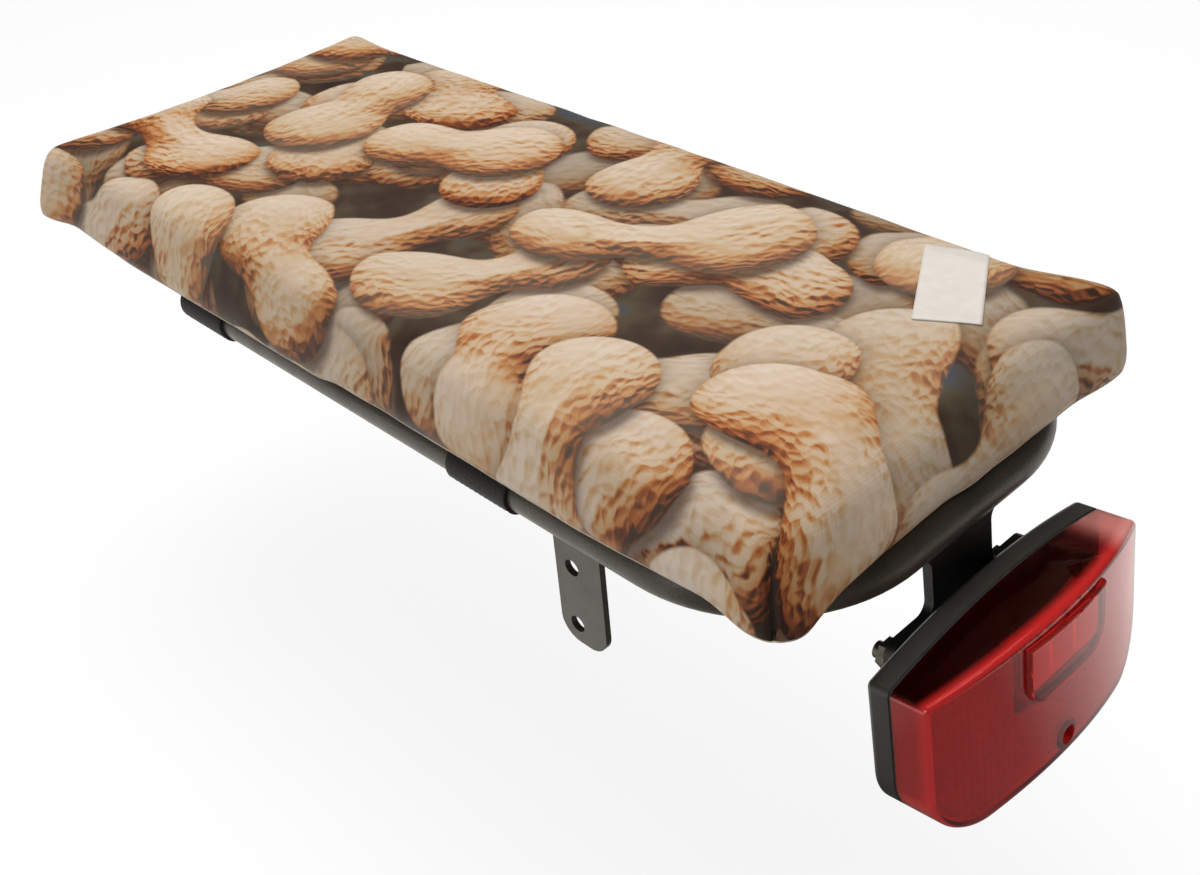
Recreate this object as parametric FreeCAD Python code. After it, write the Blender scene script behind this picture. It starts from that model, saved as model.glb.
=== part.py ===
"""Rear rack cushion seat: a padded seat cushion strapped to the platform of a bicycle's
rear rack, with the rear lamp that is bolted to the platform's tail.

Millimetres. +X points to the rear of the bicycle, +Y to its right, +Z up. The origin is the
centre of the front fixing hole, on the plane of the platform's tube centrelines.
"""

import FreeCAD
import Part
import math
import os

V = FreeCAD.Vector
AXIS_X = V(1, 0, 0)
AXIS_Y = V(0, 1, 0)
AXIS_Z = V(0, 0, 1)

# Rack platform: one bent tube with cross bars, a front tongue and a tab for each leg
tube_d = 12.0
tube_wall = 1.5
deck_length = 279.5         # front to rear tube, centre to centre
deck_width = 138.0          # left to right rail, centre to centre
rear_bend_r = 45.0          # corner bends, on the tube's centreline
front_bend_r = 28.0
vent_d = 3.0                # weld vent under the front tube
vent_offset = 28.0          # from the mid plane
bar_d = 8.0
bar_pitch = 72.0
rear_bar_setback = 74.5     # rear tube to rear cross bar
tongue_width = 30.0
tongue_thick = 3.0
tongue_hole_d = 6.4
tongue_reach = 63.0         # fixing hole to front tube
tab_width = 18.0
tab_thick = 2.0
tab_hole_d = 5.3
tab_hole_ahead = 2.5        # holes ahead of the tab's middle
tab_first_hole = 16.7       # below the rail's centreline
tab_hole_pitch = 20.6
tab_end = 6.5               # last hole to the tip
tab_corner_r = 7.0

# Straps: webbing sewn to the cushion's base, closed under the rack by hook tape
strap_width = 25.0
strap_thick = 1.8
strap_pitch = 144.0
strap_slack = 0.1           # between the webbing and the tube
strap_tail = 70.0           # overlap that the hook tape closes
hook_thick = 1.2
hook_length = 58.0
hook_margin = 1.0           # webbing edge to tape edge
tail_bend_r = 6.0           # where the tail steps down past the first layer

# Cushion: foam pad in a printed cover, over a base panel
cushion_length = 360.0
cushion_side_overhang = 0.5 # past the rails' outer sides
cushion_overhang = 2.5      # past the rear tube's centreline
cushion_height = 25.0       # hem to top
cushion_draft = 3.2         # how far the top is inside the hem, each side
cushion_corner_r = 5.0
cushion_edge_r = 4.0        # rounding of the top edges
cover_thick = 1.0
cover_hem_drop = 0.6        # how far the hem hangs below the base panel
base_thick = 1.2
sewn_clearance = 0.2        # between the cover and what it holds
label_length = 43.5
label_width = 18.5
label_thick = 0.6
label_x = 141.9             # from the cushion's middle
label_y = 45.8
label_turn = -59.3          # degrees from +X

# Lamp: a black housing and a bowed lens, bolted to a bracket under the rear tube
lamp_half = 48.5
lamp_height = 46.0          # at the lamp's ends
lamp_crown = 5.0            # rise of the top between the upper corners
lamp_top_r = 2.2
lamp_inner_r = 0.5          # least rounding inside the top corners
lamp_bottom_r = 16.0
lamp_arch = 2.0             # rise of the foot between the lower corners
lamp_pitch = 7.0            # degrees, the lens looks slightly up
lamp_drop = 21.5            # rail centreline to the lamp's upper corners
lamp_setback = 8.1          # rear tube's centreline to the lamp's back
housing_depth = 7.0
housing_wall = 2.0
housing_edge_r = 2.0        # rounding of the back
seat_d = 13.0               # raised seats for the bracket
seat_height = 4.0
seal_thick = 0.8
seal_width = 1.6
lens_depth = 11.0           # at the lamp's ends
lens_bow = 8.5              # how far the middle stands out past the ends
lens_wall = 2.0
lens_edge_r = 1.8
window_half = 18.0
window_top = 2.3            # below the lamp's crowned top
window_height = 20.0
window_corner_r = 8.0
window_proud = 1.5          # in front of the lens
window_lip = 1.4            # flange behind the lens
window_lip_thick = 1.2
window_edge_r = 1.2
window_gap = 0.1
reflex_thick = 1.4
reflex_margin = 0.4         # inside the lens walls and round the openings
screw_drop = 38.2           # lamp's upper corners to the lens screw
screw_head_d = 5.2
screw_head_thick = 1.8
screw_d = 3.0
screw_grip = 8.0            # screw length inside the boss
screw_hole_gap = 0.3
column_wall = 1.6           # moulded tube round the screw, on the lens
column_floor = 2.0
column_depth = 12.0         # lens face to the column's end
boss_wall = 2.0             # moulded boss on the housing that the screw bites
board_width = 40.0
board_height = 24.0
board_thick = 1.6
board_gap = 1.0             # under the carrier's top wall
board_post_d = 5.0
board_post_inset = 5.0
bar_cells = 3
bar_cell_wall = 1.4
bar_depth = 9.0
bar_drop = 3.0              # window's top to the bar's top
bar_height = 14.0
bar_width = 33.0
led_size = 3.5
led_thick = 1.6
led_port = 4.6              # opening at the bottom of each cell
terminal_width = 4.8
terminal_thick = 0.8
terminal_pitch = 9.0
terminal_drop = 23.5        # below the lamp's upper corners
terminal_reach = 8.0        # behind the housing
terminal_slot_gap = 0.1
carrier_wall = 1.5          # inner cover that frames the light bar
carrier_gap = 1.0           # inside the lens's top and foot
carrier_inset = 8.5         # inside the lamp's ends
carrier_setback = 8.0       # behind the lens's face
carrier_corner = 11.0       # slanted lower corners
carrier_edge = 3.0          # chamfer of the front ends
carrier_clearance = 0.4     # round the light bar and the screw column

# Bracket and the bolts that hold the lamp on it
bracket_thick = 3.0
bracket_neck = 27.0
bracket_flare = 5.0         # how much wider the neck is at the tube, each side
bracket_width = 64.0
bracket_shoulder = 3.0      # lamp's upper corners to the top of the wide part
bracket_height = 18.0
bracket_corner_r = 4.0
bracket_rise = 24.0         # how far the neck reaches above those corners before it is coped
stud_pitch = 50.0
stud_drop = 12.0            # below the lamp's upper corners
stud_d = 5.0
stud_gap = 0.25
stud_head_d = 9.0
stud_head_thick = 3.0
stud_tip = 2.5              # past the nut
washer_d = 10.0
washer_thick = 1.0
nut_flats = 8.0
nut_thick = 4.0
thread_gap = 0.05

# Places that follow from the sizes above
tube_r = tube_d / 2
rail_y = deck_width / 2
front_x = tongue_reach
rear_x = front_x + deck_length
rear_bar_x = rear_x - rear_bar_setback
cushion_width = deck_width + tube_d + 2 * cushion_side_overhang
cushion_rear_x = rear_x + cushion_overhang
cushion_x = cushion_rear_x - cushion_length / 2
strap_top_z = tube_r + strap_slack + strap_thick
base_z = strap_top_z
hem_z = base_z - cover_hem_drop
top_z = hem_z + cushion_height
lamp_back = V(rear_x + lamp_setback, 0, -lamp_drop)
lens_back = housing_depth + seal_thick
lens_end = lens_back + lens_depth
bow_r = (lamp_half ** 2 + lens_bow ** 2) / (2 * lens_bow)
lens_face = lens_end + lens_bow
crown_r = (lamp_half ** 2 + lamp_crown ** 2) / (2 * lamp_crown)
crown_z = lamp_crown - crown_r
carrier_top = lens_wall + carrier_gap
carrier_foot = lamp_height - lamp_arch - lens_wall - carrier_gap


# Small shape helpers

def line(a, b):
    return Part.LineSegment(a, b).toShape()


def arc(a, middle, b):
    return Part.Arc(a, middle, b).toShape()


def turn(centre, radius, a, b):
    """The short arc about centre, from the unit direction a to b."""
    return arc(centre + a * radius, centre + (a + b).normalize() * radius, centre + b * radius)


def rounded_rectangle(length, width, radius, z):
    """A closed wire in the XY plane, centred on the origin."""
    x, y = length / 2, width / 2
    k = radius * (1 - math.sqrt(0.5))
    edges = []
    for sx, sy in ((1, 1), (-1, 1), (-1, -1), (1, -1)):
        on_side = V(sx * x, sy * (y - radius), z)
        on_end = V(sx * (x - radius), sy * y, z)
        middle = V(sx * (x - k), sy * (y - k), z)
        turn = (on_side, on_end) if sx * sy > 0 else (on_end, on_side)
        edges.append(arc(turn[0], middle, turn[1]))
    joined = []
    for i, bend in enumerate(edges):
        following = edges[(i + 1) % 4]
        joined.append(bend)
        joined.append(line(bend.Vertexes[-1].Point, following.Vertexes[0].Point))
    return Part.Wire(joined)


def bent_wire(points, radii):
    """Straight runs through the points, joined by tangent arcs of the given radii."""
    edges = []
    start = points[0]
    for before, corner, after, radius in zip(points, points[1:], points[2:], radii):
        a = (before - corner).normalize()
        b = (after - corner).normalize()
        half_turn = (math.pi - a.getAngle(b)) / 2
        reach = radius * math.tan(half_turn)
        depth = radius / math.cos(half_turn) - radius
        inward = (a + b).normalize()
        edges.append(line(start, corner + a * reach))
        edges.append(arc(corner + a * reach, corner + inward * depth, corner + b * reach))
        start = corner + b * reach
    edges.append(line(start, points[-1]))
    return Part.Wire(edges)


def cylinder(radius, height, base, direction):
    return Part.makeCylinder(radius, height, base, direction)


def mirrored(shape):
    """The same shape on the other side of the bicycle's mid plane."""
    return shape.mirror(V(0, 0, 0), AXIS_Y)


# Rack platform

def loop_solid(radius):
    """A round bar of that radius along the platform's centreline, joined at its front."""
    weld = V(front_x, 0, 0)
    corners = [V(x, y, 0) for x, y in (
        (front_x, rail_y), (rear_x, rail_y), (rear_x, -rail_y), (front_x, -rail_y))]
    path = bent_wire(
        [weld] + corners + [weld], [front_bend_r, rear_bend_r, rear_bend_r, front_bend_r])
    ring = Part.Wire([Part.makeCircle(radius, weld, AXIS_Y)])
    return path.makePipeShell([ring], True, False)


def rack_loop(outside):
    vent = cylinder(vent_d / 2, tube_r, V(front_x, vent_offset, -tube_r - tube_wall), AXIS_Z)
    return outside.cut(loop_solid(tube_r - tube_wall)).cut(vent)


def cross_bar(x, outside):
    return cylinder(bar_d / 2, deck_width, V(x, -rail_y, 0), AXIS_Y).cut(outside)


def front_tongue(outside):
    """Flat strap with a round end about the fixing hole, coped to the front tube."""
    half = tongue_width / 2
    z = -tongue_thick / 2
    outline = Part.Wire([
        line(V(front_x, half, z), V(0, half, z)),
        arc(V(0, half, z), V(-half, 0, z), V(0, -half, z)),
        line(V(0, -half, z), V(front_x, -half, z)),
        line(V(front_x, -half, z), V(front_x, half, z)),
    ])
    plate = Part.Face(outline).extrude(AXIS_Z * tongue_thick)
    hole = cylinder(tongue_hole_d / 2, tongue_thick, V(0, 0, z), AXIS_Z)
    return plate.cut(hole).cut(outside)


def leg_tab(outside):
    """Left tab: a strip that hangs under the rail, with two holes for the rack's leg."""
    y = -rail_y - tab_thick / 2
    front = rear_bar_x + tab_hole_ahead - tab_width / 2
    last_hole = -tab_first_hole - tab_hole_pitch
    tip = last_hole - tab_end
    tab = Part.makeBox(tab_width, tab_thick, -tip, V(front, y, tip))
    lower = [
        e for e in tab.Edges
        if abs(e.tangentAt(e.FirstParameter).y) > 0.99 and abs(e.Vertexes[0].Z - tip) < 1e-6
    ]
    tab = tab.makeFillet(min(tab_corner_r, 0.48 * tab_width), lower)
    for z in (-tab_first_hole, last_hole):
        tab = tab.cut(cylinder(tab_hole_d / 2, tab_thick, V(rear_bar_x, y, z), AXIS_Y))
    return tab.cut(outside)


# Straps

def strip(points, radii, x, width, thick):
    """Webbing of that thickness whose middle runs through the points of the YZ plane."""
    path = bent_wire(points, radii)
    across = (points[1] - points[0]).normalize().cross(AXIS_X)
    corners = [
        points[0] + AXIS_X * (sx * width / 2) + across * (sz * thick / 2)
        for sx, sz in ((-1, -1), (1, -1), (1, 1), (-1, 1))
    ]
    profile = Part.makePolygon(corners + corners[:1])
    band = path.makePipeShell([profile], True, False)
    band.translate(AXIS_X * x)
    return band


def strap(x):
    """Webbing from under the rack, round both rails and back, with its tail outside."""
    layer_r = tube_r + strap_slack + strap_thick / 2
    outer_layer = layer_r + strap_thick + hook_thick
    side = rail_y + layer_r
    tail_y = strap_tail / 2
    step = tail_y + 2 * tail_bend_r
    points = [
        V(0, tail_y, -layer_r),
        V(0, -side, -layer_r),
        V(0, -side, layer_r),
        V(0, side, layer_r),
        V(0, side, -layer_r),
        V(0, step + tail_bend_r, -layer_r),
        V(0, step - tail_bend_r / 2, -outer_layer),
        V(0, -tail_y, -outer_layer),
    ]
    radii = [layer_r] * 4 + [tail_bend_r] * 2
    return strip(points, radii, x, strap_width, strap_thick)


def hook_tape(x):
    """Hook tape between the strap's two layers."""
    z = -(tube_r + strap_slack + strap_thick + hook_thick)
    width = strap_width - 2 * hook_margin
    return Part.makeBox(width, hook_length, hook_thick, V(x - width / 2, -hook_length / 2, z))


# Cushion

def drafted_block(inset, low, high, edge_r):
    """The cushion's form, taken in by inset on each side, between two heights."""
    def outline(z):
        share = (z - hem_z) / cushion_height
        taken = 2 * (inset + cushion_draft * share)
        radius = max(cushion_corner_r - inset, edge_r + cover_thick)
        return rounded_rectangle(cushion_length - taken, cushion_width - taken, radius, z)

    block = Part.makeLoft([outline(low), outline(high)], True, True)
    if edge_r > 0:
        rim = [e for e in block.Edges if all(abs(v.Z - high) < 1e-6 for v in e.Vertexes)]
        block = block.makeFillet(edge_r, rim)
    block.translate(AXIS_X * cushion_x)
    return block


def cushion_cover():
    outer = drafted_block(0, hem_z, top_z, cushion_edge_r)
    inner = drafted_block(cover_thick, hem_z - cover_thick, top_z - cover_thick, cushion_edge_r - cover_thick)
    return outer.cut(inner)


def base_panel():
    return drafted_block(cover_thick + sewn_clearance, base_z, base_z + base_thick, 0)


def foam_pad():
    inset = cover_thick + sewn_clearance
    return drafted_block(inset, base_z + base_thick, top_z - inset, cushion_edge_r - cover_thick)


def label_patch():
    patch = Part.makeBox(
        label_length, label_width, label_thick, V(-label_length / 2, -label_width / 2, 0))
    patch.rotate(V(0, 0, 0), AXIS_Z, label_turn)
    patch.translate(V(cushion_x + label_x, label_y, top_z))
    return patch


# Lamp, drawn with its back on the YZ plane, its upper corners at z = 0 and the lens towards +X

def in_place(shape):
    """Moves a lamp piece from its own drawing to the rear of the rack."""
    shape.rotate(V(0, 0, 0), AXIS_Y, -lamp_pitch)
    shape.translate(lamp_back)
    return shape


def lamp_outline(inset, x):
    """The lamp's closed outline, taken in by inset: crowned top, round corners, arched foot."""
    half = lamp_half - inset
    foot = inset - lamp_height
    top_r = max(lamp_top_r - inset, lamp_inner_r)
    top_y = half - top_r
    low_r = lamp_bottom_r - inset
    low_y = half - low_r
    # The crown of the top is a circle that runs into both upper corners
    top_z = crown_z + math.sqrt((crown_r - inset - top_r) ** 2 - top_y ** 2)
    to_crown = V(0, top_y, top_z - crown_z).normalize()
    shoulder = V(x, top_y, top_z) + to_crown * top_r
    # The arch of the foot is a circle tangent to both lower corners
    reach = (low_y ** 2 + lamp_arch ** 2) / (2 * lamp_arch)
    to_arch = V(0, -low_y, lamp_arch - reach).normalize()
    edges = [arc(V(x, -shoulder.y, shoulder.z), V(x, 0, lamp_crown - inset), shoulder)]
    edges.append(turn(V(x, top_y, top_z), top_r, to_crown, AXIS_Y))
    edges.append(line(V(x, half, top_z), V(x, half, foot + low_r)))
    edges.append(turn(V(x, low_y, foot + low_r), low_r, AXIS_Y, to_arch))
    meet = V(x, low_y, foot + low_r) + to_arch * low_r
    edges.append(arc(meet, V(x, 0, foot + lamp_arch), V(x, -meet.y, meet.z)))
    edges.append(turn(V(x, -low_y, foot + low_r), low_r, V(0, -to_arch.y, to_arch.z), AXIS_Y * -1))
    edges.append(line(V(x, -half, foot + low_r), V(x, -half, top_z)))
    edges.append(turn(V(x, -top_y, top_z), top_r, AXIS_Y * -1, V(0, -to_crown.y, to_crown.z)))
    return Part.Wire(edges)


def lamp_prism(inset, near, far):
    return Part.Face(lamp_outline(inset, near)).extrude(AXIS_X * (far - near))


def bowed_bar(behind):
    """An upright round bar whose front is that far behind the lens's face."""
    axis_x = lens_face - bow_r
    return cylinder(bow_r - behind, 3 * lamp_height, V(axis_x, 0, -2 * lamp_height), AXIS_Z)


def crowned_bar(below):
    """A lengthwise round bar whose crown is that far below the lamp's top."""
    return cylinder(crown_r - below, lens_face, V(0, 0, crown_z), AXIS_X)


def crown_rise(y):
    """How far the lamp's top is above its upper corners there."""
    return crown_z + math.sqrt(crown_r ** 2 - y ** 2)


window_head = crown_rise(window_half) - window_top


def window_prism(grow, near, far):
    """The lamp window's outline, grown at its sides and foot."""
    half = window_half + grow
    top, bottom = window_head, window_head - window_height - grow
    radius = window_corner_r + grow
    k = radius * (1 - math.sqrt(0.5))
    outline = Part.Wire([
        line(V(near, -half, top), V(near, half, top)),
        line(V(near, half, top), V(near, half, bottom + radius)),
        arc(V(near, half, bottom + radius), V(near, half - k, bottom + k), V(near, half - radius, bottom)),
        line(V(near, half - radius, bottom), V(near, radius - half, bottom)),
        arc(V(near, radius - half, bottom), V(near, k - half, bottom + k), V(near, -half, bottom + radius)),
        line(V(near, -half, bottom + radius), V(near, -half, top)),
    ])
    return Part.Face(outline).extrude(AXIS_X * (far - near))


def front_edges(solid, radius):
    """The edges round the bowed front of a lens."""
    for face in solid.Faces:
        surface = face.Surface
        if isinstance(surface, Part.Cylinder) and abs(surface.Radius - radius) < 1e-6:
            return face.Edges
    raise ValueError("the lens has no bowed front")


def stud_places():
    return [V(0, side * stud_pitch / 2, -stud_drop) for side in (-1, 1)]


column_r = screw_head_d / 2 + screw_hole_gap + column_wall
column_end = lens_face - column_depth
screw_seat = column_end + column_floor


def boss_r():
    return screw_d / 2 + boss_wall


def lamp_housing():
    """Moulded tray with seats for the bracket, posts for the board and a boss for the screw."""
    outer = lamp_prism(0, 0, housing_depth)
    back = [e for e in outer.Edges if all(abs(v.X) < 1e-6 for v in e.Vertexes)]
    outer = outer.makeFillet(min(housing_edge_r, 0.95 * lamp_top_r), back)
    tray = outer.cut(lamp_prism(housing_wall, housing_wall, housing_depth))
    boss = cylinder(boss_r(), column_end - housing_wall, V(housing_wall, 0, -screw_drop), AXIS_X)
    tray = tray.fuse(boss)
    for place in board_posts():
        tray = tray.fuse(cylinder(board_post_d / 2, board_back - housing_wall, place, AXIS_X))
    for place in stud_places():
        seat_face = place - AXIS_X * seat_height
        tray = tray.fuse(cylinder(seat_d / 2, seat_height, seat_face, AXIS_X))
        tray = tray.cut(cylinder(stud_d / 2 + stud_gap, seat_height + housing_wall, seat_face, AXIS_X))
    bite = cylinder(screw_d / 2, screw_grip, V(column_end - screw_grip, 0, -screw_drop), AXIS_X)
    for shape in terminal_blades(terminal_slot_gap):
        tray = tray.cut(shape)
    return tray.cut(bite).removeSplitter()


def lamp_seal():
    """Flat rubber ring between the housing's rim and the lens."""
    margin = (housing_wall - seal_width) / 2
    ring = lamp_prism(margin, housing_depth, lens_back)
    return ring.cut(lamp_prism(margin + seal_width, housing_depth, lens_back))


def lamp_lens():
    """Bowed shell with a cut-out for the window and a sunk column for the screw."""
    far = lens_face + lens_wall
    outer = lamp_prism(0, lens_back, far).common(bowed_bar(0))
    outer = outer.makeFillet(min(lens_edge_r, 0.9 * lamp_top_r), front_edges(outer, bow_r))
    inner = lamp_prism(lens_wall, lens_back, far).common(bowed_bar(lens_wall))
    axis = V(column_end, 0, -screw_drop)
    column = cylinder(column_r, column_depth, axis, AXIS_X).common(bowed_bar(lens_wall / 2))
    recess = cylinder(
        screw_head_d / 2 + screw_hole_gap, column_depth, V(screw_seat, 0, -screw_drop), AXIS_X)
    hole = cylinder(screw_d / 2 + screw_hole_gap, column_depth, axis, AXIS_X)
    shell = outer.cut(inner).fuse(column).cut(recess).cut(hole)
    return shell.cut(window_prism(window_gap, lens_back, far + window_proud)).removeSplitter()


def lamp_window():
    """Clear insert over the light cells, held by a lip behind the lens."""
    far = lens_face + 2 * window_proud
    plug = window_prism(0, lens_back, far).common(bowed_bar(-window_proud))
    plug = plug.makeFillet(window_edge_r, front_edges(plug, bow_r + window_proud))
    lip = window_prism(window_lip, lens_back, far).common(bowed_bar(lens_wall))
    return plug.fuse(lip).cut(bowed_bar(lens_wall + window_lip_thick)).removeSplitter()


def lamp_reflex_panel():
    """Prism plate that lines the lens round the window and the screw column."""
    plate = lamp_prism(lens_wall + reflex_margin, lens_back, lens_face).common(bowed_bar(lens_wall))
    plate = plate.cut(bowed_bar(lens_wall + reflex_thick))
    plate = plate.cut(window_prism(window_lip + reflex_margin, 0, lens_face))
    above = Part.makeBox(
        lens_face, 2 * (window_half + window_lip + reflex_margin), lamp_crown + window_height,
        V(0, -(window_half + window_lip + reflex_margin), window_head - window_lip))
    column = cylinder(column_r + reflex_margin, lens_face, V(0, 0, -screw_drop), AXIS_X)
    return plate.cut(above).cut(column)


board_front = lens_face - lens_wall - window_lip_thick - window_lip - bar_depth
board_back = board_front - board_thick
board_head = crown_rise(board_width / 2) - carrier_top - carrier_wall - board_gap


def board_posts():
    z_mid = board_head - board_height / 2
    reach_y = board_width / 2 - board_post_inset
    reach_z = board_height / 2 - board_post_inset
    return [V(housing_wall, sy * reach_y, z_mid + sz * reach_z) for sy in (-1, 1) for sz in (-1, 1)]


def terminal_blades(grow):
    """Spade terminals from the board through the housing's back."""
    width, thick = terminal_width + 2 * grow, terminal_thick + 2 * grow
    length = board_back + terminal_reach
    return [
        Part.makeBox(length, width, thick, V(
            -terminal_reach, side * terminal_pitch / 2 - width / 2, -terminal_drop - thick / 2))
        for side in (-1, 1)
    ]


def lamp_circuit_board():
    return Part.makeBox(
        board_thick, board_width, board_height,
        V(board_back, -board_width / 2, board_head - board_height))


def cell_places():
    pitch = (bar_width - bar_cell_wall) / bar_cells
    return [(i - (bar_cells - 1) / 2) * pitch for i in range(bar_cells)], pitch


def bar_middle_z():
    return window_head - bar_drop - bar_height / 2


def lamp_leds():
    places, _ = cell_places()
    leds = [
        Part.makeBox(led_thick, led_size, led_size, V(
            board_front, y - led_size / 2, bar_middle_z() - led_size / 2))
        for y in places
    ]
    return Part.makeCompound(leds)


def lamp_light_bar():
    """Reflector block with a flared cell in front of each light."""
    bar = Part.makeBox(bar_depth, bar_width, bar_height, V(
        board_front, -bar_width / 2, bar_middle_z() - bar_height / 2))
    places, pitch = cell_places()
    for y in places:
        wires = []
        for x, width, height in (
            (board_front, led_port, led_port),
            (board_front + bar_depth, pitch - bar_cell_wall, bar_height - 2 * bar_cell_wall),
        ):
            corners = [
                V(x, y + sy * width / 2, bar_middle_z() + sz * height / 2)
                for sy, sz in ((-1, -1), (1, -1), (1, 1), (-1, 1))
            ]
            wires.append(Part.makePolygon(corners + corners[:1]))
        bar = bar.cut(Part.makeLoft(wires, True, True))
    return bar


def carrier_block(inset):
    """The inner cover's form, taken in by inset: crowned top, slanted lower corners, bowed front."""
    half = lamp_half - carrier_inset - inset
    top, foot = lamp_crown, inset - carrier_foot
    slant = carrier_corner - inset * (2 - math.sqrt(2))
    corners = [
        V(housing_wall, y, z) for y, z in (
            (-half, top), (half, top), (half, foot + slant), (half - slant, foot),
            (slant - half, foot), (-half, foot + slant))
    ]
    prism = Part.Face(Part.makePolygon(corners + corners[:1])).extrude(AXIS_X * lens_face)
    block = prism.common(crowned_bar(carrier_top + inset)).common(bowed_bar(carrier_setback + inset))
    ends = [
        e for e in block.Edges
        if all(abs(abs(v.Y) - half) < 1e-6 and v.X > housing_wall + 1e-6 for v in e.Vertexes)
    ]
    return block.makeChamfer(carrier_edge - inset * (2 - math.sqrt(2)), ends)


def lamp_carrier():
    """Inner cover that stands on the housing's floor and hides the board behind the lens."""
    shell = carrier_block(0).cut(carrier_block(carrier_wall))
    width, height = bar_width + 2 * carrier_clearance, bar_height + 2 * carrier_clearance
    shell = shell.cut(Part.makeBox(
        lens_face, width, height, V(board_front, -width / 2, bar_middle_z() - height / 2)))
    notch_r = column_r + carrier_clearance
    shell = shell.cut(cylinder(notch_r, lens_face, V(housing_wall, 0, -screw_drop), AXIS_X))
    return shell.cut(Part.makeBox(
        lens_face, 2 * notch_r, lamp_height, V(housing_wall, -notch_r, -screw_drop - lamp_height)))


def lamp_lens_screw():
    seat = V(screw_seat, 0, -screw_drop)
    head = cylinder(screw_head_d / 2, screw_head_thick, seat, AXIS_X)
    length = column_floor + screw_grip
    shank = cylinder(screw_d / 2, length, V(screw_seat - length, 0, -screw_drop), AXIS_X)
    slot_width, slot_depth = screw_head_d / 6, screw_head_thick / 2
    slot = Part.makeBox(slot_depth, slot_width, screw_head_d, V(
        screw_seat + screw_head_thick - slot_depth, -slot_width / 2, -screw_drop - screw_head_d / 2))
    return head.fuse(shank).cut(slot).removeSplitter()


# Bracket and bolts, in the lamp's own drawing

def lamp_bracket(outside):
    """Plate with a neck that is coped to the rear tube and a wide foot behind the lamp."""
    neck, half = bracket_neck / 2, bracket_width / 2
    shoulder, foot = -bracket_shoulder, -bracket_shoulder - bracket_height
    flare, joint = neck + bracket_flare, lamp_drop - tube_r
    outline = [
        (flare, bracket_rise), (flare, joint), (neck, joint), (neck, shoulder), (half, shoulder),
        (half, foot),
    ]
    corners = [V(-seat_height, y, z) for y, z in outline]
    corners += [V(-seat_height, -y, z) for y, z in reversed(outline)]
    plate = Part.Face(Part.makePolygon(corners + corners[:1])).extrude(AXIS_X * -bracket_thick)
    turns = [
        e for e in plate.Edges
        if abs(e.tangentAt(e.FirstParameter).x) > 0.99 and e.Vertexes[0].Z < joint + 1e-6
        and abs(abs(e.Vertexes[0].Y) - flare) > 1e-6
    ]
    plate = plate.makeFillet(bracket_corner_r, turns)
    for place in stud_places():
        hole_end = place - AXIS_X * (seat_height + bracket_thick)
        plate = plate.cut(cylinder(stud_d / 2 + stud_gap, bracket_thick, hole_end, AXIS_X))
    ceiling = Part.makeBox(
        2 * tube_d, 2 * bracket_width, 2 * tube_d, V(rear_x - tube_d, -bracket_width, 0))
    pieces = in_place(plate).cut(outside).cut(ceiling).Solids
    return min(pieces, key=lambda piece: piece.BoundBox.ZMin)


def lamp_bolts():
    """Round-head bolts from inside the housing, through the bracket."""
    bolts = []
    length = housing_wall + seat_height + bracket_thick + washer_thick + nut_thick + stud_tip
    for place in stud_places():
        inside = place + AXIS_X * housing_wall
        head = cylinder(stud_head_d / 2, stud_head_thick, inside, AXIS_X)
        shank = cylinder(stud_d / 2, length, inside, AXIS_X * -1)
        bolts.append(head.fuse(shank).removeSplitter())
    return Part.makeCompound(bolts)


def lamp_washers():
    rings = []
    for place in stud_places():
        seat = place - AXIS_X * (seat_height + bracket_thick)
        ring = cylinder(washer_d / 2, washer_thick, seat, AXIS_X * -1)
        rings.append(ring.cut(cylinder(stud_d / 2 + stud_gap, washer_thick, seat, AXIS_X * -1)))
    return Part.makeCompound(rings)


def lamp_nuts():
    nuts = []
    corner_r = nut_flats / math.sqrt(3)
    for place in stud_places():
        seat = place - AXIS_X * (seat_height + bracket_thick + washer_thick)
        corners = [
            seat + V(0, corner_r * math.cos(i * math.pi / 3), corner_r * math.sin(i * math.pi / 3))
            for i in range(6)
        ]
        nut = Part.Face(Part.makePolygon(corners + corners[:1])).extrude(AXIS_X * -nut_thick)
        nuts.append(nut.cut(cylinder(stud_d / 2 + thread_gap, nut_thick, seat, AXIS_X * -1)))
    return Part.makeCompound(nuts)


def all_parts():
    outside = loop_solid(tube_r)
    parts = {
        "rack_loop": rack_loop(outside),
        "front_tongue": front_tongue(outside),
        "lamp_bracket": lamp_bracket(outside),
    }
    for i, name in enumerate(("rear", "middle", "front")):
        parts["cross_bar_" + name] = cross_bar(rear_bar_x - i * bar_pitch, outside)
    parts["left_leg_tab"] = leg_tab(outside)
    parts["right_leg_tab"] = mirrored(parts["left_leg_tab"])
    for name, side in (("front", -1), ("rear", 1)):
        x = cushion_x + side * strap_pitch / 2
        parts[name + "_strap"] = strap(x)
        parts[name + "_hook_tape"] = hook_tape(x)
    for maker in (cushion_cover, base_panel, foam_pad, label_patch):
        parts[maker.__name__] = maker()
    for maker in (
        lamp_housing, lamp_seal, lamp_lens, lamp_window, lamp_reflex_panel, lamp_circuit_board,
        lamp_leds, lamp_light_bar, lamp_carrier, lamp_lens_screw, lamp_bolts, lamp_washers, lamp_nuts,
    ):
        parts[maker.__name__] = in_place(maker())
    parts["lamp_terminals"] = in_place(Part.makeCompound(terminal_blades(0)))
    return parts


def write_parts():
    os.makedirs("parts", exist_ok=True)
    for name, shape in all_parts().items():
        shape.exportStep(os.path.join("parts", name + ".step"))


write_parts()
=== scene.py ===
import math
import bpy
import bmesh
import numpy as np
from mathutils import Matrix, Vector, noise
from mathutils.bvhtree import BVHTree


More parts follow.
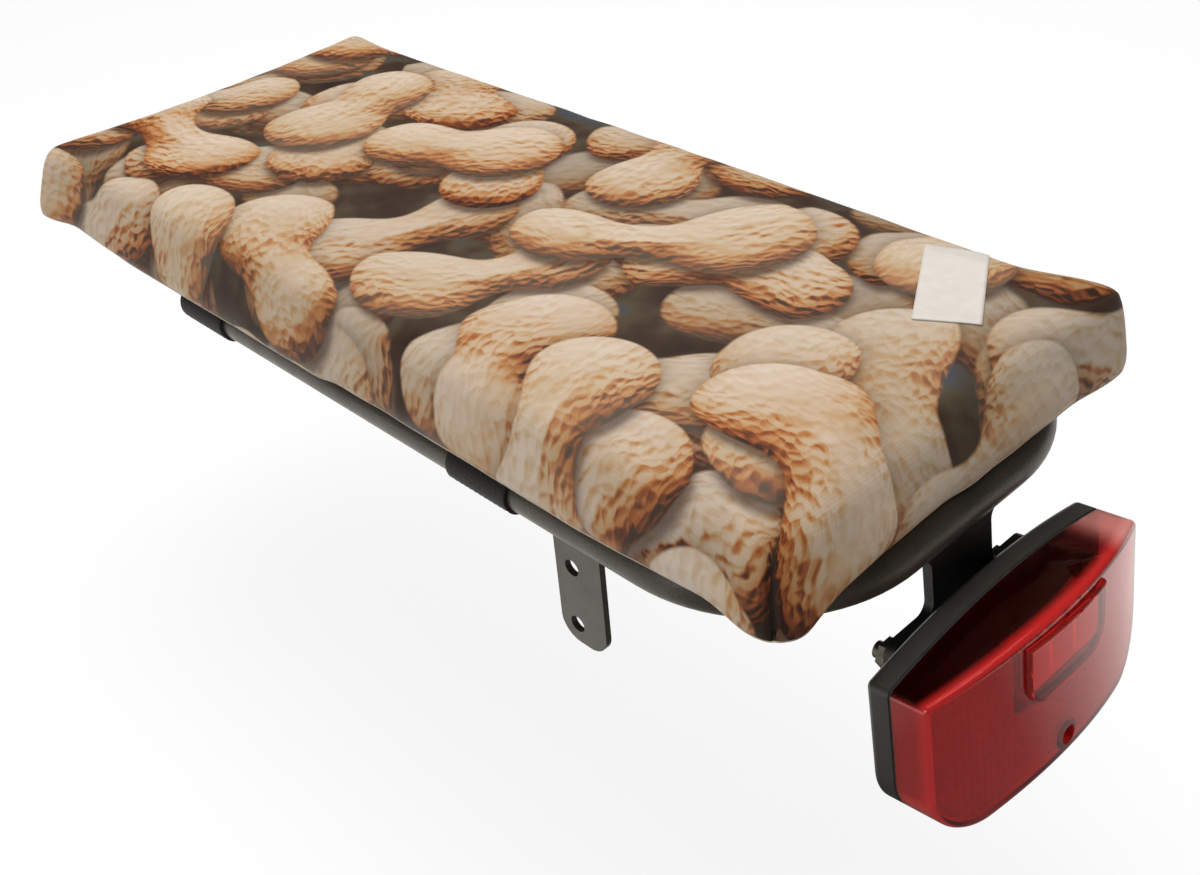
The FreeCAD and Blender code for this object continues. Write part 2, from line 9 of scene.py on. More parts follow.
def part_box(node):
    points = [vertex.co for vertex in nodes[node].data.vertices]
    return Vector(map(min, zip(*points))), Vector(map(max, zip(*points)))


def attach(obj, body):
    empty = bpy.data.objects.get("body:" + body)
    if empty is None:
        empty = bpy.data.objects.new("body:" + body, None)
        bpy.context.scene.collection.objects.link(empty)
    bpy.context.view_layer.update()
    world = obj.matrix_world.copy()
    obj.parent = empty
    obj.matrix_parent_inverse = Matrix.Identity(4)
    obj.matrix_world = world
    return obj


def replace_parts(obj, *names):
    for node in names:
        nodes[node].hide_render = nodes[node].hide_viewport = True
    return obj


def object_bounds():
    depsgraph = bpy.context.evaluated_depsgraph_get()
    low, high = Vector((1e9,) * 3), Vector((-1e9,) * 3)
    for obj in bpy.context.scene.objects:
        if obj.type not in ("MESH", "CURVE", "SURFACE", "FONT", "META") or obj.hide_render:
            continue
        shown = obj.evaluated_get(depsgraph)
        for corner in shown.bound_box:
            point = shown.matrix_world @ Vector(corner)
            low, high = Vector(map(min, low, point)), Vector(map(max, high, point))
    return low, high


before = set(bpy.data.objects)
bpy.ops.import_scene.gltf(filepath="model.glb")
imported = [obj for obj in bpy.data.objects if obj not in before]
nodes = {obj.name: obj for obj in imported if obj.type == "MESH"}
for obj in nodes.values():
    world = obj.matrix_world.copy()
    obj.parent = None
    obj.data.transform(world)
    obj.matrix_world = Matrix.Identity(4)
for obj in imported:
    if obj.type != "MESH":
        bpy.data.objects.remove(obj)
cad_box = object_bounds()

# Rack platform: a bent steel tube with cross bars, a front tongue and two leg tabs, welded
# together and then powder coated in dark grey, which leaves a fine pebbled satin skin.

mm = 0.001
rack_bars = ("cross_bar_front", "cross_bar_middle", "cross_bar_rear")
leg_tabs = ("left_leg_tab", "right_leg_tab")


def new_finish(name):
    """A material, its node tree and its main shader."""
    finish = bpy.data.materials.new(name)
    finish.use_nodes = True
    return finish, finish.node_tree, finish.node_tree.nodes["Principled BSDF"]


def add_node(tree, kind, inputs=None, **settings):
    """A shader node with its settings, and with input values by name or number."""
    made = tree.nodes.new("ShaderNode" + kind)
    for name, value in settings.items():
        setattr(made, name, value)
    for name, value in (inputs or {}).items():
        made.inputs[name].default_value = value
    return made


def add_ramp(tree, source, stops):
    """A colour ramp through (place, colour) stops, fed by that output."""
    ramp = add_node(tree, "ValToRGB")
    ramp.color_ramp.elements.remove(ramp.color_ramp.elements[1])
    for i, (place, colour) in enumerate(stops):
        stop = ramp.color_ramp.elements[0] if i == 0 else ramp.color_ramp.elements.new(place)
        stop.position = place
        stop.color = (*colour, 1)
    tree.links.new(source, ramp.inputs["Fac"])
    return ramp.outputs["Color"]


def grey_ramp(tree, source, *stops):
    """A ramp of plain numbers through (place, number) stops."""
    return add_ramp(tree, source, [(place, (level, level, level)) for place, level in stops])


def add_noise(tree, scale, detail=3.0, stretch=(1, 1, 1), coordinates=None):
    """Noise of that many grains a metre, on the piece's own coordinates unless others are given."""
    if coordinates is None:
        coordinates = add_node(tree, "TexCoord").outputs["Object"]
    mapping = add_node(tree, "Mapping", {"Scale": stretch})
    tree.links.new(coordinates, mapping.inputs["Vector"])
    grain = add_node(tree, "TexNoise", {"Scale": scale, "Detail": detail})
    tree.links.new(mapping.outputs["Vector"], grain.inputs["Vector"])
    return grain.outputs["Fac"]


def add_bump(tree, shader, height, depth):
    """Relief of that depth from a height between 0 and 1."""
    bump = add_node(tree, "Bump", {"Distance": depth})
    tree.links.new(height, bump.inputs["Height"])
    tree.links.new(bump.outputs["Normal"], shader.inputs["Normal"])


def grained_finish(name, dark, light, patch, rough, grain, depth, metallic=0.0, shine=0.5):
    """Two close shades in soft patches, uneven gloss and a fine grain in relief."""
    finish, tree, shader = new_finish(name)
    gloss_patch = 2.3 * patch
    shades = add_ramp(tree, add_noise(tree, patch), [(0.3, dark), (0.7, light)])
    gloss = grey_ramp(tree, add_noise(tree, gloss_patch), (0.25, rough[0]), (0.75, rough[1]))
    tree.links.new(shades, shader.inputs["Base Color"])
    tree.links.new(gloss, shader.inputs["Roughness"])
    add_bump(tree, shader, add_noise(tree, grain, detail=2.0), depth)
    shader.inputs["Metallic"].default_value = metallic
    shader.inputs["Specular IOR Level"].default_value = shine
    return finish


def lay_on(finish, *names):
    """Gives solids of the frame that finish."""
    for name in names:
        nodes[name].data.materials.clear()
        nodes[name].data.materials.append(finish)


rack_coat = grained_finish(
    "rack_coat", dark=(0.036, 0.029, 0.020), light=(0.052, 0.043, 0.031),
    patch=60, rough=(0.32, 0.44), grain=1300, depth=0.12 * mm)
lay_on(rack_coat, "rack_loop", "front_tongue", *leg_tabs, *rack_bars)

# Weld beads of the rack: rings round the cross bars' ends and short runs along the tabs and the
# tongue, laid by hand and coated with the rack.

scene = bpy.context.scene
weld_r = 0.9 * mm
weld_unevenness = 0.16
weld_step = 1.5 * mm
weld_waver = 0.3 * mm
waver_spread = 900
bead_ripple = 2.1
ring_points = 28
tube_r = (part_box("rack_loop")[1].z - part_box("rack_loop")[0].z) / 2
rail_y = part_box("rack_loop")[1].y - tube_r


def bar_ring(bar, side):
    """The closed line where a cross bar's end meets a rail."""
    low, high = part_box(bar)
    radius = (high.x - low.x) / 2
    ring = []
    for i in range(ring_points):
        turn = 2 * math.pi * i / ring_points
        z = radius * math.sin(turn)
        y = side * (rail_y - math.sqrt(tube_r ** 2 - z ** 2))
        ring.append(Vector(((low.x + high.x) / 2 + radius * math.cos(turn), y, z)))
    return ring


def straight_run(start, end):
    """Points a step apart, with a hand's slight waver."""
    count = max(3, round((end - start).length / weld_step))
    run = []
    for i in range(count + 1):
        waver = weld_waver * noise.noise(start * waver_spread + Vector((i, 0, 0)))
        run.append(start.lerp(end, i / count) + Vector((0, 0, waver)))
    return run


def weld_lines():
    """Every bead as its points and whether it closes."""
    lines = [(bar_ring(bar, side), True) for bar in rack_bars for side in (-1, 1)]
    for tab in leg_tabs:
        low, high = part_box(tab)
        for y in (low.y, high.y):
            z = -math.sqrt(tube_r ** 2 - (rail_y - abs(y)) ** 2)
            lines.append((straight_run(Vector((low.x, y, z)), Vector((high.x, y, z))), False))
    low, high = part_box("front_tongue")
    for z in (low.z, high.z):
        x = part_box("rack_loop")[0].x + tube_r - math.sqrt(tube_r ** 2 - z ** 2)
        lines.append((straight_run(Vector((x, low.y, z)), Vector((x, high.y, z))), False))
    return lines


def rounded_line(name, lines, radius, unevenness, finish):
    """Lines given a round section, as one piece that rides on the rack."""
    curve = bpy.data.curves.new(name, "CURVE")
    curve.dimensions = "3D"
    curve.bevel_depth = radius
    curve.bevel_resolution = 2
    curve.use_fill_caps = True
    for points, closed in lines:
        run = curve.splines.new("POLY")
        run.points.add(len(points) - 1)
        run.use_cyclic_u = closed
        for i, (knot, point) in enumerate(zip(run.points, points)):
            knot.co = (*point, 1)
            knot.radius = 1.0 + unevenness * math.sin(i * bead_ripple)
    model = bpy.data.objects.new(name + "_line", curve)
    piece = bpy.data.objects.new(name, bpy.data.meshes.new_from_object(model))
    bpy.data.objects.remove(model)
    scene.collection.objects.link(piece)
    piece.data.materials.clear()
    piece.data.materials.append(finish)
    piece.data.shade_smooth()
    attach(piece, "root")


rounded_line("weld_beads", weld_lines(), weld_r, weld_unevenness, rack_coat)

# Lamp bracket: a steel plate welded under the rear tube and painted black, with the dark zinc
# plated bolts, washers and nuts that clamp the lamp's housing to it.

bracket_coat = grained_finish(
    "bracket_coat", dark=(0.004, 0.004, 0.0038), light=(0.008, 0.008, 0.0076),
    patch=80, rough=(0.4, 0.54), grain=1500, depth=0.08 * mm)
lay_on(bracket_coat, "lamp_bracket")
dark_zinc = grained_finish(
    "dark_zinc", dark=(0.11, 0.095, 0.075), light=(0.2, 0.18, 0.15),
    patch=500, rough=(0.3, 0.48), grain=2600, depth=0.03 * mm, metallic=1.0)
lay_on(dark_zinc, "lamp_bolts", "lamp_washers", "lamp_nuts", "lamp_lens_screw")

# Lamp housing: the black moulded back of the lamp, satin from a spark-eroded mould, with a
# rubber seal round its rim and the black inner cover that hides the board.

housing_skin = grained_finish(
    "housing_skin", dark=(0.021, 0.020, 0.017), light=(0.034, 0.032, 0.027),
    patch=45, rough=(0.34, 0.46), grain=2200, depth=0.05 * mm)
lay_on(housing_skin, "lamp_housing")
seal_rubber = grained_finish(
    "seal_rubber", dark=(0.012, 0.012, 0.012), light=(0.022, 0.022, 0.021),
    patch=300, rough=(0.7, 0.85), grain=3000, depth=0.04 * mm)
lay_on(seal_rubber, "lamp_seal")
carrier_skin = grained_finish(
    "carrier_skin", dark=(0.003, 0.0026, 0.0026), light=(0.006, 0.005, 0.005),
    patch=120, rough=(0.25, 0.38), grain=1800, depth=0.03 * mm, shine=0.03)
lay_on(carrier_skin, "lamp_carrier")

# Lamp electrics: a lacquered board with its three lights, the bright reflector bar in front of
# them, and the brass blades that pass through the housing's back.

board_lacquer, tree, shader = new_finish("board_lacquer")
tracks = add_node(
    tree, "TexBrick",
    {"Scale": 260.0, "Mortar Size": 0.03, "Color1": (0.012, 0.09, 0.03, 1),
     "Color2": (0.016, 0.11, 0.04, 1), "Mortar": (0.05, 0.2, 0.08, 1)})
upright = add_node(tree, "Mapping", {"Rotation": (0, math.pi / 2, 0)})
tree.links.new(add_node(tree, "TexCoord").outputs["Object"], upright.inputs["Vector"])
tree.links.new(upright.outputs["Vector"], tracks.inputs["Vector"])
tree.links.new(tracks.outputs["Color"], shader.inputs["Base Color"])
add_bump(tree, shader, tracks.outputs["Fac"], depth=0.05 * mm)
shader.inputs["Roughness"].default_value = 0.3
lay_on(board_lacquer, "lamp_circuit_board")
bar_bright = grained_finish(
    "bar_bright", dark=(0.86, 0.84, 0.81), light=(0.94, 0.92, 0.90),
    patch=400, rough=(0.16, 0.26), grain=900, depth=0.02 * mm, metallic=0.25)
lay_on(bar_bright, "lamp_light_bar")
led_resin = grained_finish(
    "led_resin", dark=(0.7, 0.55, 0.25), light=(0.85, 0.74, 0.45),
    patch=700, rough=(0.08, 0.16), grain=2000, depth=0.01 * mm)
lay_on(led_resin, "lamp_leds")
blade_brass = grained_finish(
    "blade_brass", dark=(0.55, 0.4, 0.16), light=(0.72, 0.56, 0.26),
    patch=350, rough=(0.25, 0.4), grain=2500, depth=0.02 * mm, metallic=1.0)
lay_on(blade_brass, "lamp_terminals")

# Reflex panel: a red plate of small prisms that lines the lens. Its square prisms stand in rows
# on the lens's bow, and the plate is trimmed round the window and the screw.

lamp_origin = Vector((350.6, 0, -21.5)) * mm
lamp_pitch = math.radians(-7)
lamp_place = Matrix.Translation(lamp_origin) @ Matrix.Rotation(lamp_pitch, 4, "Y")
lens_face = 27.3 * mm
lens_bow_r = 142.6 * mm
lamp_crown = 5.0 * mm
lamp_crown_r = 237.7 * mm
prism_pitch = 2.1 * mm
prism_height = 0.9 * mm
prism_rows = 23
prism_columns = 45
prism_setback = 3.3 * mm
panel_half = 46.0 * mm
panel_drop = 2.6 * mm
panel_foot = -43.6 * mm
panel_arch = 2.0 * mm
panel_corner_r = 13.6 * mm
window_half = 19.5 * mm
window_foot = -19.5 * mm
column_r = 4.6 * mm
column_z = -38.2 * mm


def panel_edges(y, z):
    """How far inside the plate's border, window and screw hole a place is, and each nearest point."""
    side = math.copysign(1, y)
    crown = lamp_crown - lamp_crown_r + math.sqrt(lamp_crown_r ** 2 - y ** 2) - panel_drop
    edges = [(panel_half - abs(y), (side * panel_half, z)), (crown - z, (y, crown))]
    past_y, past_z = abs(y) - panel_half + panel_corner_r, panel_foot + panel_corner_r - z
    if past_y > 0 and past_z > 0:
        far = math.hypot(past_y, past_z)
        share = panel_corner_r / far
        edges.append((panel_corner_r - far, (
            side * (panel_half - panel_corner_r + past_y * share),
            panel_foot + panel_corner_r - past_z * share)))
    else:
        flat = panel_half - panel_corner_r
        foot = panel_foot + panel_arch * max(0, 1 - (y / flat) ** 2)
        edges.append((z - foot, (y, foot)))
    if abs(y) - window_half > window_foot - z:
        edges.append((abs(y) - window_half, (side * window_half, z)))
    else:
        edges.append((window_foot - z, (y, window_foot)))
    reach = math.hypot(y, z - column_z)
    share = column_r / max(reach, 1e-6)
    edges.append((reach - column_r, (y * share, column_z + (z - column_z) * share)))
    return edges


def finished(name, build, finish, smooth=True):
    """A piece made from a mesh in the making, with its finish, that rides on the rack."""
    mesh = bpy.data.meshes.new(name)
    build.to_mesh(mesh)
    build.free()
    piece = bpy.data.objects.new(name, mesh)
    scene.collection.objects.link(piece)
    mesh.materials.append(finish)
    if smooth:
        mesh.shade_smooth()
    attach(piece, "root")
    return piece


panel_build = bmesh.new()
bmesh.ops.create_grid(panel_build, x_segments=prism_rows, y_segments=prism_columns, size=0.5)
bmesh.ops.scale(
    panel_build, verts=panel_build.verts,
    vec=(prism_rows * prism_pitch, prism_columns * prism_pitch, 1))
bmesh.ops.rotate(
    panel_build, verts=panel_build.verts, cent=(0, 0, 0), matrix=Matrix.Rotation(math.pi / 2, 3, "Y"))
bmesh.ops.translate(
    panel_build, verts=panel_build.verts,
    vec=(0, 0, lamp_crown - panel_drop - prism_rows * prism_pitch / 2))
outside = [
    f for f in panel_build.faces
    if min(edge[0] for edge in panel_edges(*f.calc_center_median().yz)) < 0]
bmesh.ops.delete(panel_build, geom=outside, context="FACES")
for corner in panel_build.verts:
    if corner.is_boundary:
        corner.co.yz = min(panel_edges(*corner.co.yz), key=lambda edge: abs(edge[0]))[1]
for corner in panel_build.verts:
    bowed = math.sqrt((lens_bow_r - prism_setback) ** 2 - corner.co.y ** 2)
    corner.co.x = lens_face - lens_bow_r + bowed
panel_build.normal_update()
backward = [f for f in panel_build.faces if f.normal.x < 0]
bmesh.ops.reverse_faces(panel_build, faces=backward)
bmesh.ops.poke(panel_build, faces=panel_build.faces, offset=prism_height)
bmesh.ops.transform(panel_build, matrix=lamp_place, verts=panel_build.verts)
reflex_red = grained_finish(
    "reflex_red", dark=(0.40, 0.018, 0.014), light=(0.52, 0.028, 0.02),
    patch=90, rough=(0.12, 0.2), grain=1500, depth=0.01 * mm)
reflex_panel = finished("reflex_panel", panel_build, reflex_red, smooth=False)
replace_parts(reflex_panel, "lamp_reflex_panel")

# Lens and window: clear red mouldings, polished outside. The lens is bowed and closes the lamp's
# front, and the window is a paler insert before the three lights. Their rounded rims get a fuller,
# less clear red, painted light for what their thick edges gather; the lens's far end is painted
# paler for the light that comes through it; and its top's mirror is dimmed, painted shade that
# keeps the top dark.

rim_depth = 4.2 * mm
rim_band = (1.25 * rim_depth, 0.35 * rim_depth)
foot_band = (-41.5 * mm, -44.5 * mm)
# painted light: the lens's far end is made paler and less clear between these places
lit_far_end_band = (27.0 * mm, 40.0 * mm)
edge_turn = (0.04, 0.18)
face_turn = (0.82, 0.92)
side_turn = (0.80, 0.95)
top_turn = (0.75, 0.95)
wall_through = 0.988
face_through = 0.97
lit_far_end_through = 0.6
flow_grain = 60
flow_stretch = (1, 1, 0.35)
polish_grain = 220
polish_rough = (0.02, 0.045)
lens_coat = 0.35
# painted shade: a dark tint on the top's mirror, standing in for the dark parts it reflects
dimmed_top_mirror = (0.22, 0.05, 0.045)


def calculate(tree, operation, *values):
    """A math node on outputs or plain numbers."""
    made = add_node(tree, "Math", operation=operation)
    for i, value in enumerate(values):
        if isinstance(value, (int, float)):
            made.inputs[i].default_value = value
        else:
            tree.links.new(value, made.inputs[i])
    return made.outputs[0]


def blend_colours(tree, share, a, b):
    """Mixes two colours, each an output or a plain colour."""
    made = add_node(tree, "Mix", data_type="RGBA")
    for number, value in ((0, share), (6, a), (7, b)):
        if isinstance(value, tuple):
            made.inputs[number].default_value = (*value, 1)
        else:
            tree.links.new(value, made.inputs[number])
    return made.outputs[2]


def smooth_range(tree, value, start, end):
    """A smooth step from 0 at the start to 1 at the end."""
    made = add_node(
        tree, "MapRange", {"From Min": start, "From Max": end}, interpolation_type="SMOOTHSTEP")
    tree.links.new(value, made.inputs["Value"])
    return made.outputs["Result"]


def axes_of(tree, vector):
    """The X, Y and Z outputs of a vector."""
    parts = add_node(tree, "SeparateXYZ")
    tree.links.new(vector, parts.inputs["Vector"])
    return parts.outputs


def clear_red(name, tint, deep, side, rim, rim_clear, wall, wall_clear, lit_far_end):
    """Polished clear plastic; painted light in a fuller rim and paler far end, painted shade in its
    top mirror.
    """
    finish, tree, shader = new_finish(name)
    turned = add_node(tree, "Mapping", {"Rotation": (0, -lamp_pitch, 0)}, vector_type="VECTOR")
    tree.links.new(add_node(tree, "NewGeometry").outputs["Normal"], turned.inputs["Vector"])
    way = axes_of(tree, turned.outputs["Vector"])
    forward, sideways = (calculate(tree, "ABSOLUTE", way[axis]) for axis in "XY")
    local = add_node(
        tree, "Mapping", {"Location": lamp_place.translation, "Rotation": (0, lamp_pitch, 0)},
        vector_type="TEXTURE")
    tree.links.new(add_node(tree, "TexCoord").outputs["Object"], local.inputs["Vector"])
    spot = axes_of(tree, local.outputs["Vector"])
    squared = calculate(tree, "MULTIPLY", spot["Y"], spot["Y"])
    bow = calculate(tree, "MULTIPLY", squared, 0.5 / lens_bow_r)
    behind = calculate(tree, "SUBTRACT", calculate(tree, "SUBTRACT", lens_face, bow), spot["X"])
    on_wall = grey_ramp(tree, forward, (face_turn[0], 1), (face_turn[1], 0))
    at_rim = grey_ramp(
        tree, forward, (edge_turn[0], 0), (edge_turn[1], 1), (face_turn[0], 1), (face_turn[1], 0))
    near_face = calculate(tree, "MULTIPLY", on_wall, smooth_range(tree, behind, *rim_band))
    at_rim = calculate(tree, "MAXIMUM", at_rim, near_face)
    at_side = grey_ramp(tree, sideways, (side_turn[0], 0), (side_turn[1], 1))
    at_end = calculate(tree, "MAXIMUM", at_side, smooth_range(tree, spot["Z"], *foot_band))
    # painted light: the share of the paler far end
    pale = smooth_range(tree, spot["Y"], *lit_far_end_band)
    pale_wall = calculate(tree, "MULTIPLY", on_wall, pale)
    flow = add_noise(tree, flow_grain, detail=2.0, stretch=flow_stretch)
    body = add_ramp(tree, flow, [(0.3, deep), (0.7, tint)])
    for share, colour in ((on_wall, side), (at_end, wall), (pale_wall, lit_far_end)):
        body = blend_colours(tree, share, body, colour)
    # painted light: the rim's fuller red, turning paler at the far end
    edge = blend_colours(tree, pale, rim, lit_far_end)
    tree.links.new(blend_colours(tree, at_rim, body, edge), shader.inputs["Base Color"])
    through = grey_ramp(tree, forward, (face_turn[0], wall_through), (face_turn[1], face_through))
    for share, lowest in ((at_end, wall_clear), (pale_wall, lit_far_end_through)):
        through = calculate(tree, "MINIMUM", through, grey_ramp(tree, share, (0, 1), (1, lowest)))
    clear = add_node(tree, "Mix", {3: rim_clear}, data_type="FLOAT")
    tree.links.new(at_rim, clear.inputs[0])
    tree.links.new(through, clear.inputs[2])
    tree.links.new(clear.outputs[0], shader.inputs["Transmission Weight"])
    polish = add_noise(tree, polish_grain)
    gloss = grey_ramp(tree, polish, (0.3, polish_rough[0]), (0.8, polish_rough[1]))
    tree.links.new(gloss, shader.inputs["Roughness"])
    # painted shade: the top's mirror is tinted dark and loses its coat
    mirrored = add_ramp(tree, way["Z"], [(top_turn[0], (1, 1, 1)), (top_turn[1], dimmed_top_mirror)])
    tree.links.new(mirrored, shader.inputs["Specular Tint"])
    coat = grey_ramp(tree, way["Z"], (top_turn[0], lens_coat), (top_turn[1], 0))
    tree.links.new(coat, shader.inputs["Coat Weight"])
    shader.inputs["Coat Roughness"].default_value = 0.03
    shader.inputs["IOR"].default_value = 1.49
    return finish


# Painted light in each rim and far-end colour, painted shade in the dim top mirror.
lens_red = clear_red(
    "lens_red", tint=(0.86, 0.085, 0.07), deep=(0.80, 0.06, 0.05), side=(0.45, 0.020, 0.018),
    rim=(0.66, 0.030, 0.030), rim_clear=0.35, wall=(0.60, 0.04, 0.035), wall_clear=0.6,
    lit_far_end=(0.90, 0.40, 0.37))
window_red = clear_red(
    "window_red", tint=(0.98, 0.06, 0.045), deep=(0.95, 0.05, 0.035), side=(0.80, 0.05, 0.04),
    rim=(0.55, 0.025, 0.022), rim_clear=0.7, wall=(0.70, 0.05, 0.04), wall_clear=0.85,
    lit_far_end=(0.9, 0.3, 0.26))
lay_on(lens_red, "lamp_lens")
lay_on(window_red, "lamp_window")

# Foam pad: a block of open-cell foam, cut to size. It lies inside the cover, which presses its
# edges round.

foam_low, foam_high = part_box("foam_pad")
foam_inset = Vector((5.0, 5.0, 1.5)) * mm
foam_edge = 7.0 * mm
foam_cells = grained_finish(
    "foam_cells", dark=(0.62, 0.58, 0.46), light=(0.78, 0.74, 0.62),
    patch=90, rough=(0.85, 0.95), grain=1100, depth=0.5 * mm)
foam_build = bmesh.new()
bmesh.ops.create_cube(foam_build, size=1.0)
bmesh.ops.scale(foam_build, vec=foam_high - foam_low - 2 * foam_inset, verts=foam_build.verts)
bmesh.ops.translate(foam_build, vec=(foam_low + foam_high) / 2, verts=foam_build.verts)
bmesh.ops.bevel(
    foam_build, geom=foam_build.edges, offset=foam_edge, segments=6, profile=0.5, affect="EDGES",
    material=-1)
foam_piece = finished("seat_foam", foam_build, foam_cells)
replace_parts(foam_piece, "foam_pad")

# Seat cover: coated cloth sewn over the foam pad, tight on top, with a seam down each corner
# where the spare cloth stands out a little. The pad's pressure swells it.

cover_low, cover_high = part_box("cushion_cover")
cover_middle = (cover_low + cover_high) / 2
cover_reach = (cover_high - cover_low) / 2
cover_cells = (72, 30, 5)
cover_draft = 3.0 * mm
cover_corner_r = {(-1, -1): 6.0 * mm, (-1, 1): 6.0 * mm, (1, 1): 6.0 * mm, (1, -1): 12.0 * mm}
cover_top_r = 7.5 * mm
cover_hem_r = 2.0 * mm
held_height = 1.5 * mm
swell_steps = 20
swell_limit = 2.2 * mm

cover_build = bmesh.new()
bmesh.ops.create_cube(cover_build, size=2.0)
bmesh.ops.scale(cover_build, vec=cover_reach, verts=cover_build.verts)
bmesh.ops.translate(cover_build, vec=cover_middle, verts=cover_build.verts)
for axis, cells in enumerate(cover_cells):
    along = [e for e in cover_build.edges if abs(e.verts[0].co[axis] - e.verts[1].co[axis]) > 1e-6]
    bmesh.ops.subdivide_edges(cover_build, edges=along, cuts=cells - 1, use_grid_fill=True)
cut_place = cover_build.verts.layers.float_vector.new("cut_place")
for point in cover_build.verts:
    point[cut_place] = point.co
    offset = point.co - cover_middle
    rise = (offset.z / cover_reach.z + 1) / 2
    side = cover_reach - Vector((cover_draft, cover_draft, 0)) * rise
    offset.x *= side.x / cover_reach.x
    offset.y *= side.y / cover_reach.y
    round_r = cover_corner_r[1 if offset.x > 0 else -1, 1 if offset.y > 0 else -1]
    radii = (round_r, round_r, cover_top_r if offset.z > 0 else cover_hem_r)
    core = Vector([max(r - s, min(s - r, o)) for o, s, r in zip(offset, side, radii)])
    outward = Vector([(o - c) / r for o, c, r in zip(offset, core, radii)])
    if outward.length > 0:
        outward.normalize()
        offset = Vector([c + o * r for c, o, r in zip(core, outward, radii)])
    point.co = cover_middle + offset
bmesh.ops.recalc_face_normals(cover_build, faces=cover_build.faces)
cover_mesh = bpy.data.meshes.new("seat_cover")
cover_build.to_mesh(cover_mesh)
cover_build.free()
cover = bpy.data.objects.new("seat_cover", cover_mesh)
scene.collection.objects.link(cover)


def points_of(mesh):
    """The mesh's vertex places as rows of x, y and z."""
    places = np.empty(len(mesh.vertices) * 3, np.float32)
    mesh.vertices.foreach_get("co", places)
    return places.reshape(-1, 3).astype(float)


def swell(piece):
    """Blows the cover up with cloth simulation, its base held, and keeps a limited share."""
    rest = points_of(piece.data)
    held = piece.vertex_groups.new(name="held")
    low = np.flatnonzero(rest[:, 2] < cover_low.z + held_height)
    held.add([int(i) for i in low], 1.0, "REPLACE")
    cloth = piece.modifiers.new("swell", "CLOTH")
    cloth.settings.quality = 6
    cloth.settings.mass = 0.2
    cloth.settings.tension_stiffness = 20
    cloth.settings.compression_stiffness = 20
    cloth.settings.bending_stiffness = 1.0
    cloth.settings.use_pressure = True
    cloth.settings.uniform_pressure_force = 4.0
    cloth.settings.vertex_group_mass = held.name
    cloth.settings.effector_weights.gravity = 0.0
    for moment in range(1, swell_steps + 1):
        scene.frame_set(moment)
    blown = points_of(piece.evaluated_get(bpy.context.evaluated_depsgraph_get()).data)
    move = blown - rest
    far = np.linalg.norm(move, axis=1, keepdims=True)
    move *= swell_limit * np.tanh(far / swell_limit) / np.maximum(far, 1e-9)
    piece.modifiers.clear()
    piece.vertex_groups.clear()
    scene.frame_set(1)
    piece.data.vertices.foreach_set("co", (rest + move).astype(np.float32).ravel())


swell(cover)
finer = cover.modifiers.new("finer", "SUBSURF")
finer.levels = 2
finer.render_levels = 2
depsgraph = bpy.context.evaluated_depsgraph_get()
cover_mesh = bpy.data.meshes.new_from_object(
    cover.evaluated_get(depsgraph), preserve_all_data_layers=True, depsgraph=depsgraph)
cover.modifiers.clear()
cover.data = cover_mesh
cover_mesh.name = "seat_cover"

# Sewn shape of the cover: the spare cloth at the corners, the hem that hangs out and turns under
# the pad, its slack on the near side and the tail, the fuller far and front edges, slight puckers
# and the crease of each corner's seam.

ears = {
    (-1, -1): {"foot": 3.0 * mm, "top": 1.4 * mm, "hang": 1.2 * mm, "spread": 17 * mm},
    (-1, 1): {"foot": 2.5 * mm, "top": 0.6 * mm, "hang": 0.6 * mm, "spread": 17 * mm},
    (1, 1): {"foot": 2.2 * mm, "top": 3.6 * mm, "hang": 0.6 * mm, "spread": 19 * mm},
    (1, -1): {"foot": 2.6 * mm, "top": 1.4 * mm, "hang": 1.6 * mm, "spread": 18 * mm},
}
hem_out = 1.5 * mm
hem_down = 1.1 * mm
hem_width = 8 * mm
sag_out = 1.1 * mm
sag_down = 2.0 * mm
sag_ease = 75 * mm
tail_out = 1.0 * mm
tail_down = 2.2 * mm
tail_ease = 14 * mm
tail_reach = 38 * mm
far_edge_out = 2.0 * mm
far_edge_up = 1.5 * mm
front_edge_out = 1.4 * mm
front_edge_up = 0.8 * mm
full_edge_width = 22 * mm
lip_height = 1.3 * mm
lip_start = 2 * mm
lip_ease = 4 * mm
wave_height = 0.8 * mm
wave_grain = 11
wave_layer = 3.7
wave_band = 4 * mm
pucker_height = 0.28 * mm
pucker_grain = 70
pucker_reach = 14 * mm
seam_top = 0.96
seam_ease = 0.3
seam_depth = 1.3 * mm
seam_width = 1.5 * mm
line_width = 0.3 * mm


def eased(share):
    """A smooth step from 0 to 1."""
    share = np.clip(share, 0, 1)
    return share * share * (3 - 2 * share)


def beside(distance, width):
    """1 at an edge, fading over that width."""
    return np.exp(-(distance / width) ** 2)


cut = np.empty(len(cover_mesh.vertices) * 3, np.float32)
cover_mesh.attributes["cut_place"].data.foreach_get("vector", cut)
cut = cut.reshape(-1, 3).astype(float)
at = points_of(cover_mesh)
half_x = np.sign(cut[:, 0] - cover_middle.x)
half_y = np.sign(cut[:, 1])
to_end = cover_reach.x - np.abs(cut[:, 0] - cover_middle.x)
to_side = cover_reach.y - np.abs(cut[:, 1])
to_corner = np.hypot(to_end, to_side)
to_rim = np.minimum(to_end, to_side)
high = (cut[:, 2] - cover_low.z) / (2 * cover_reach.z)
under = high < 1e-4

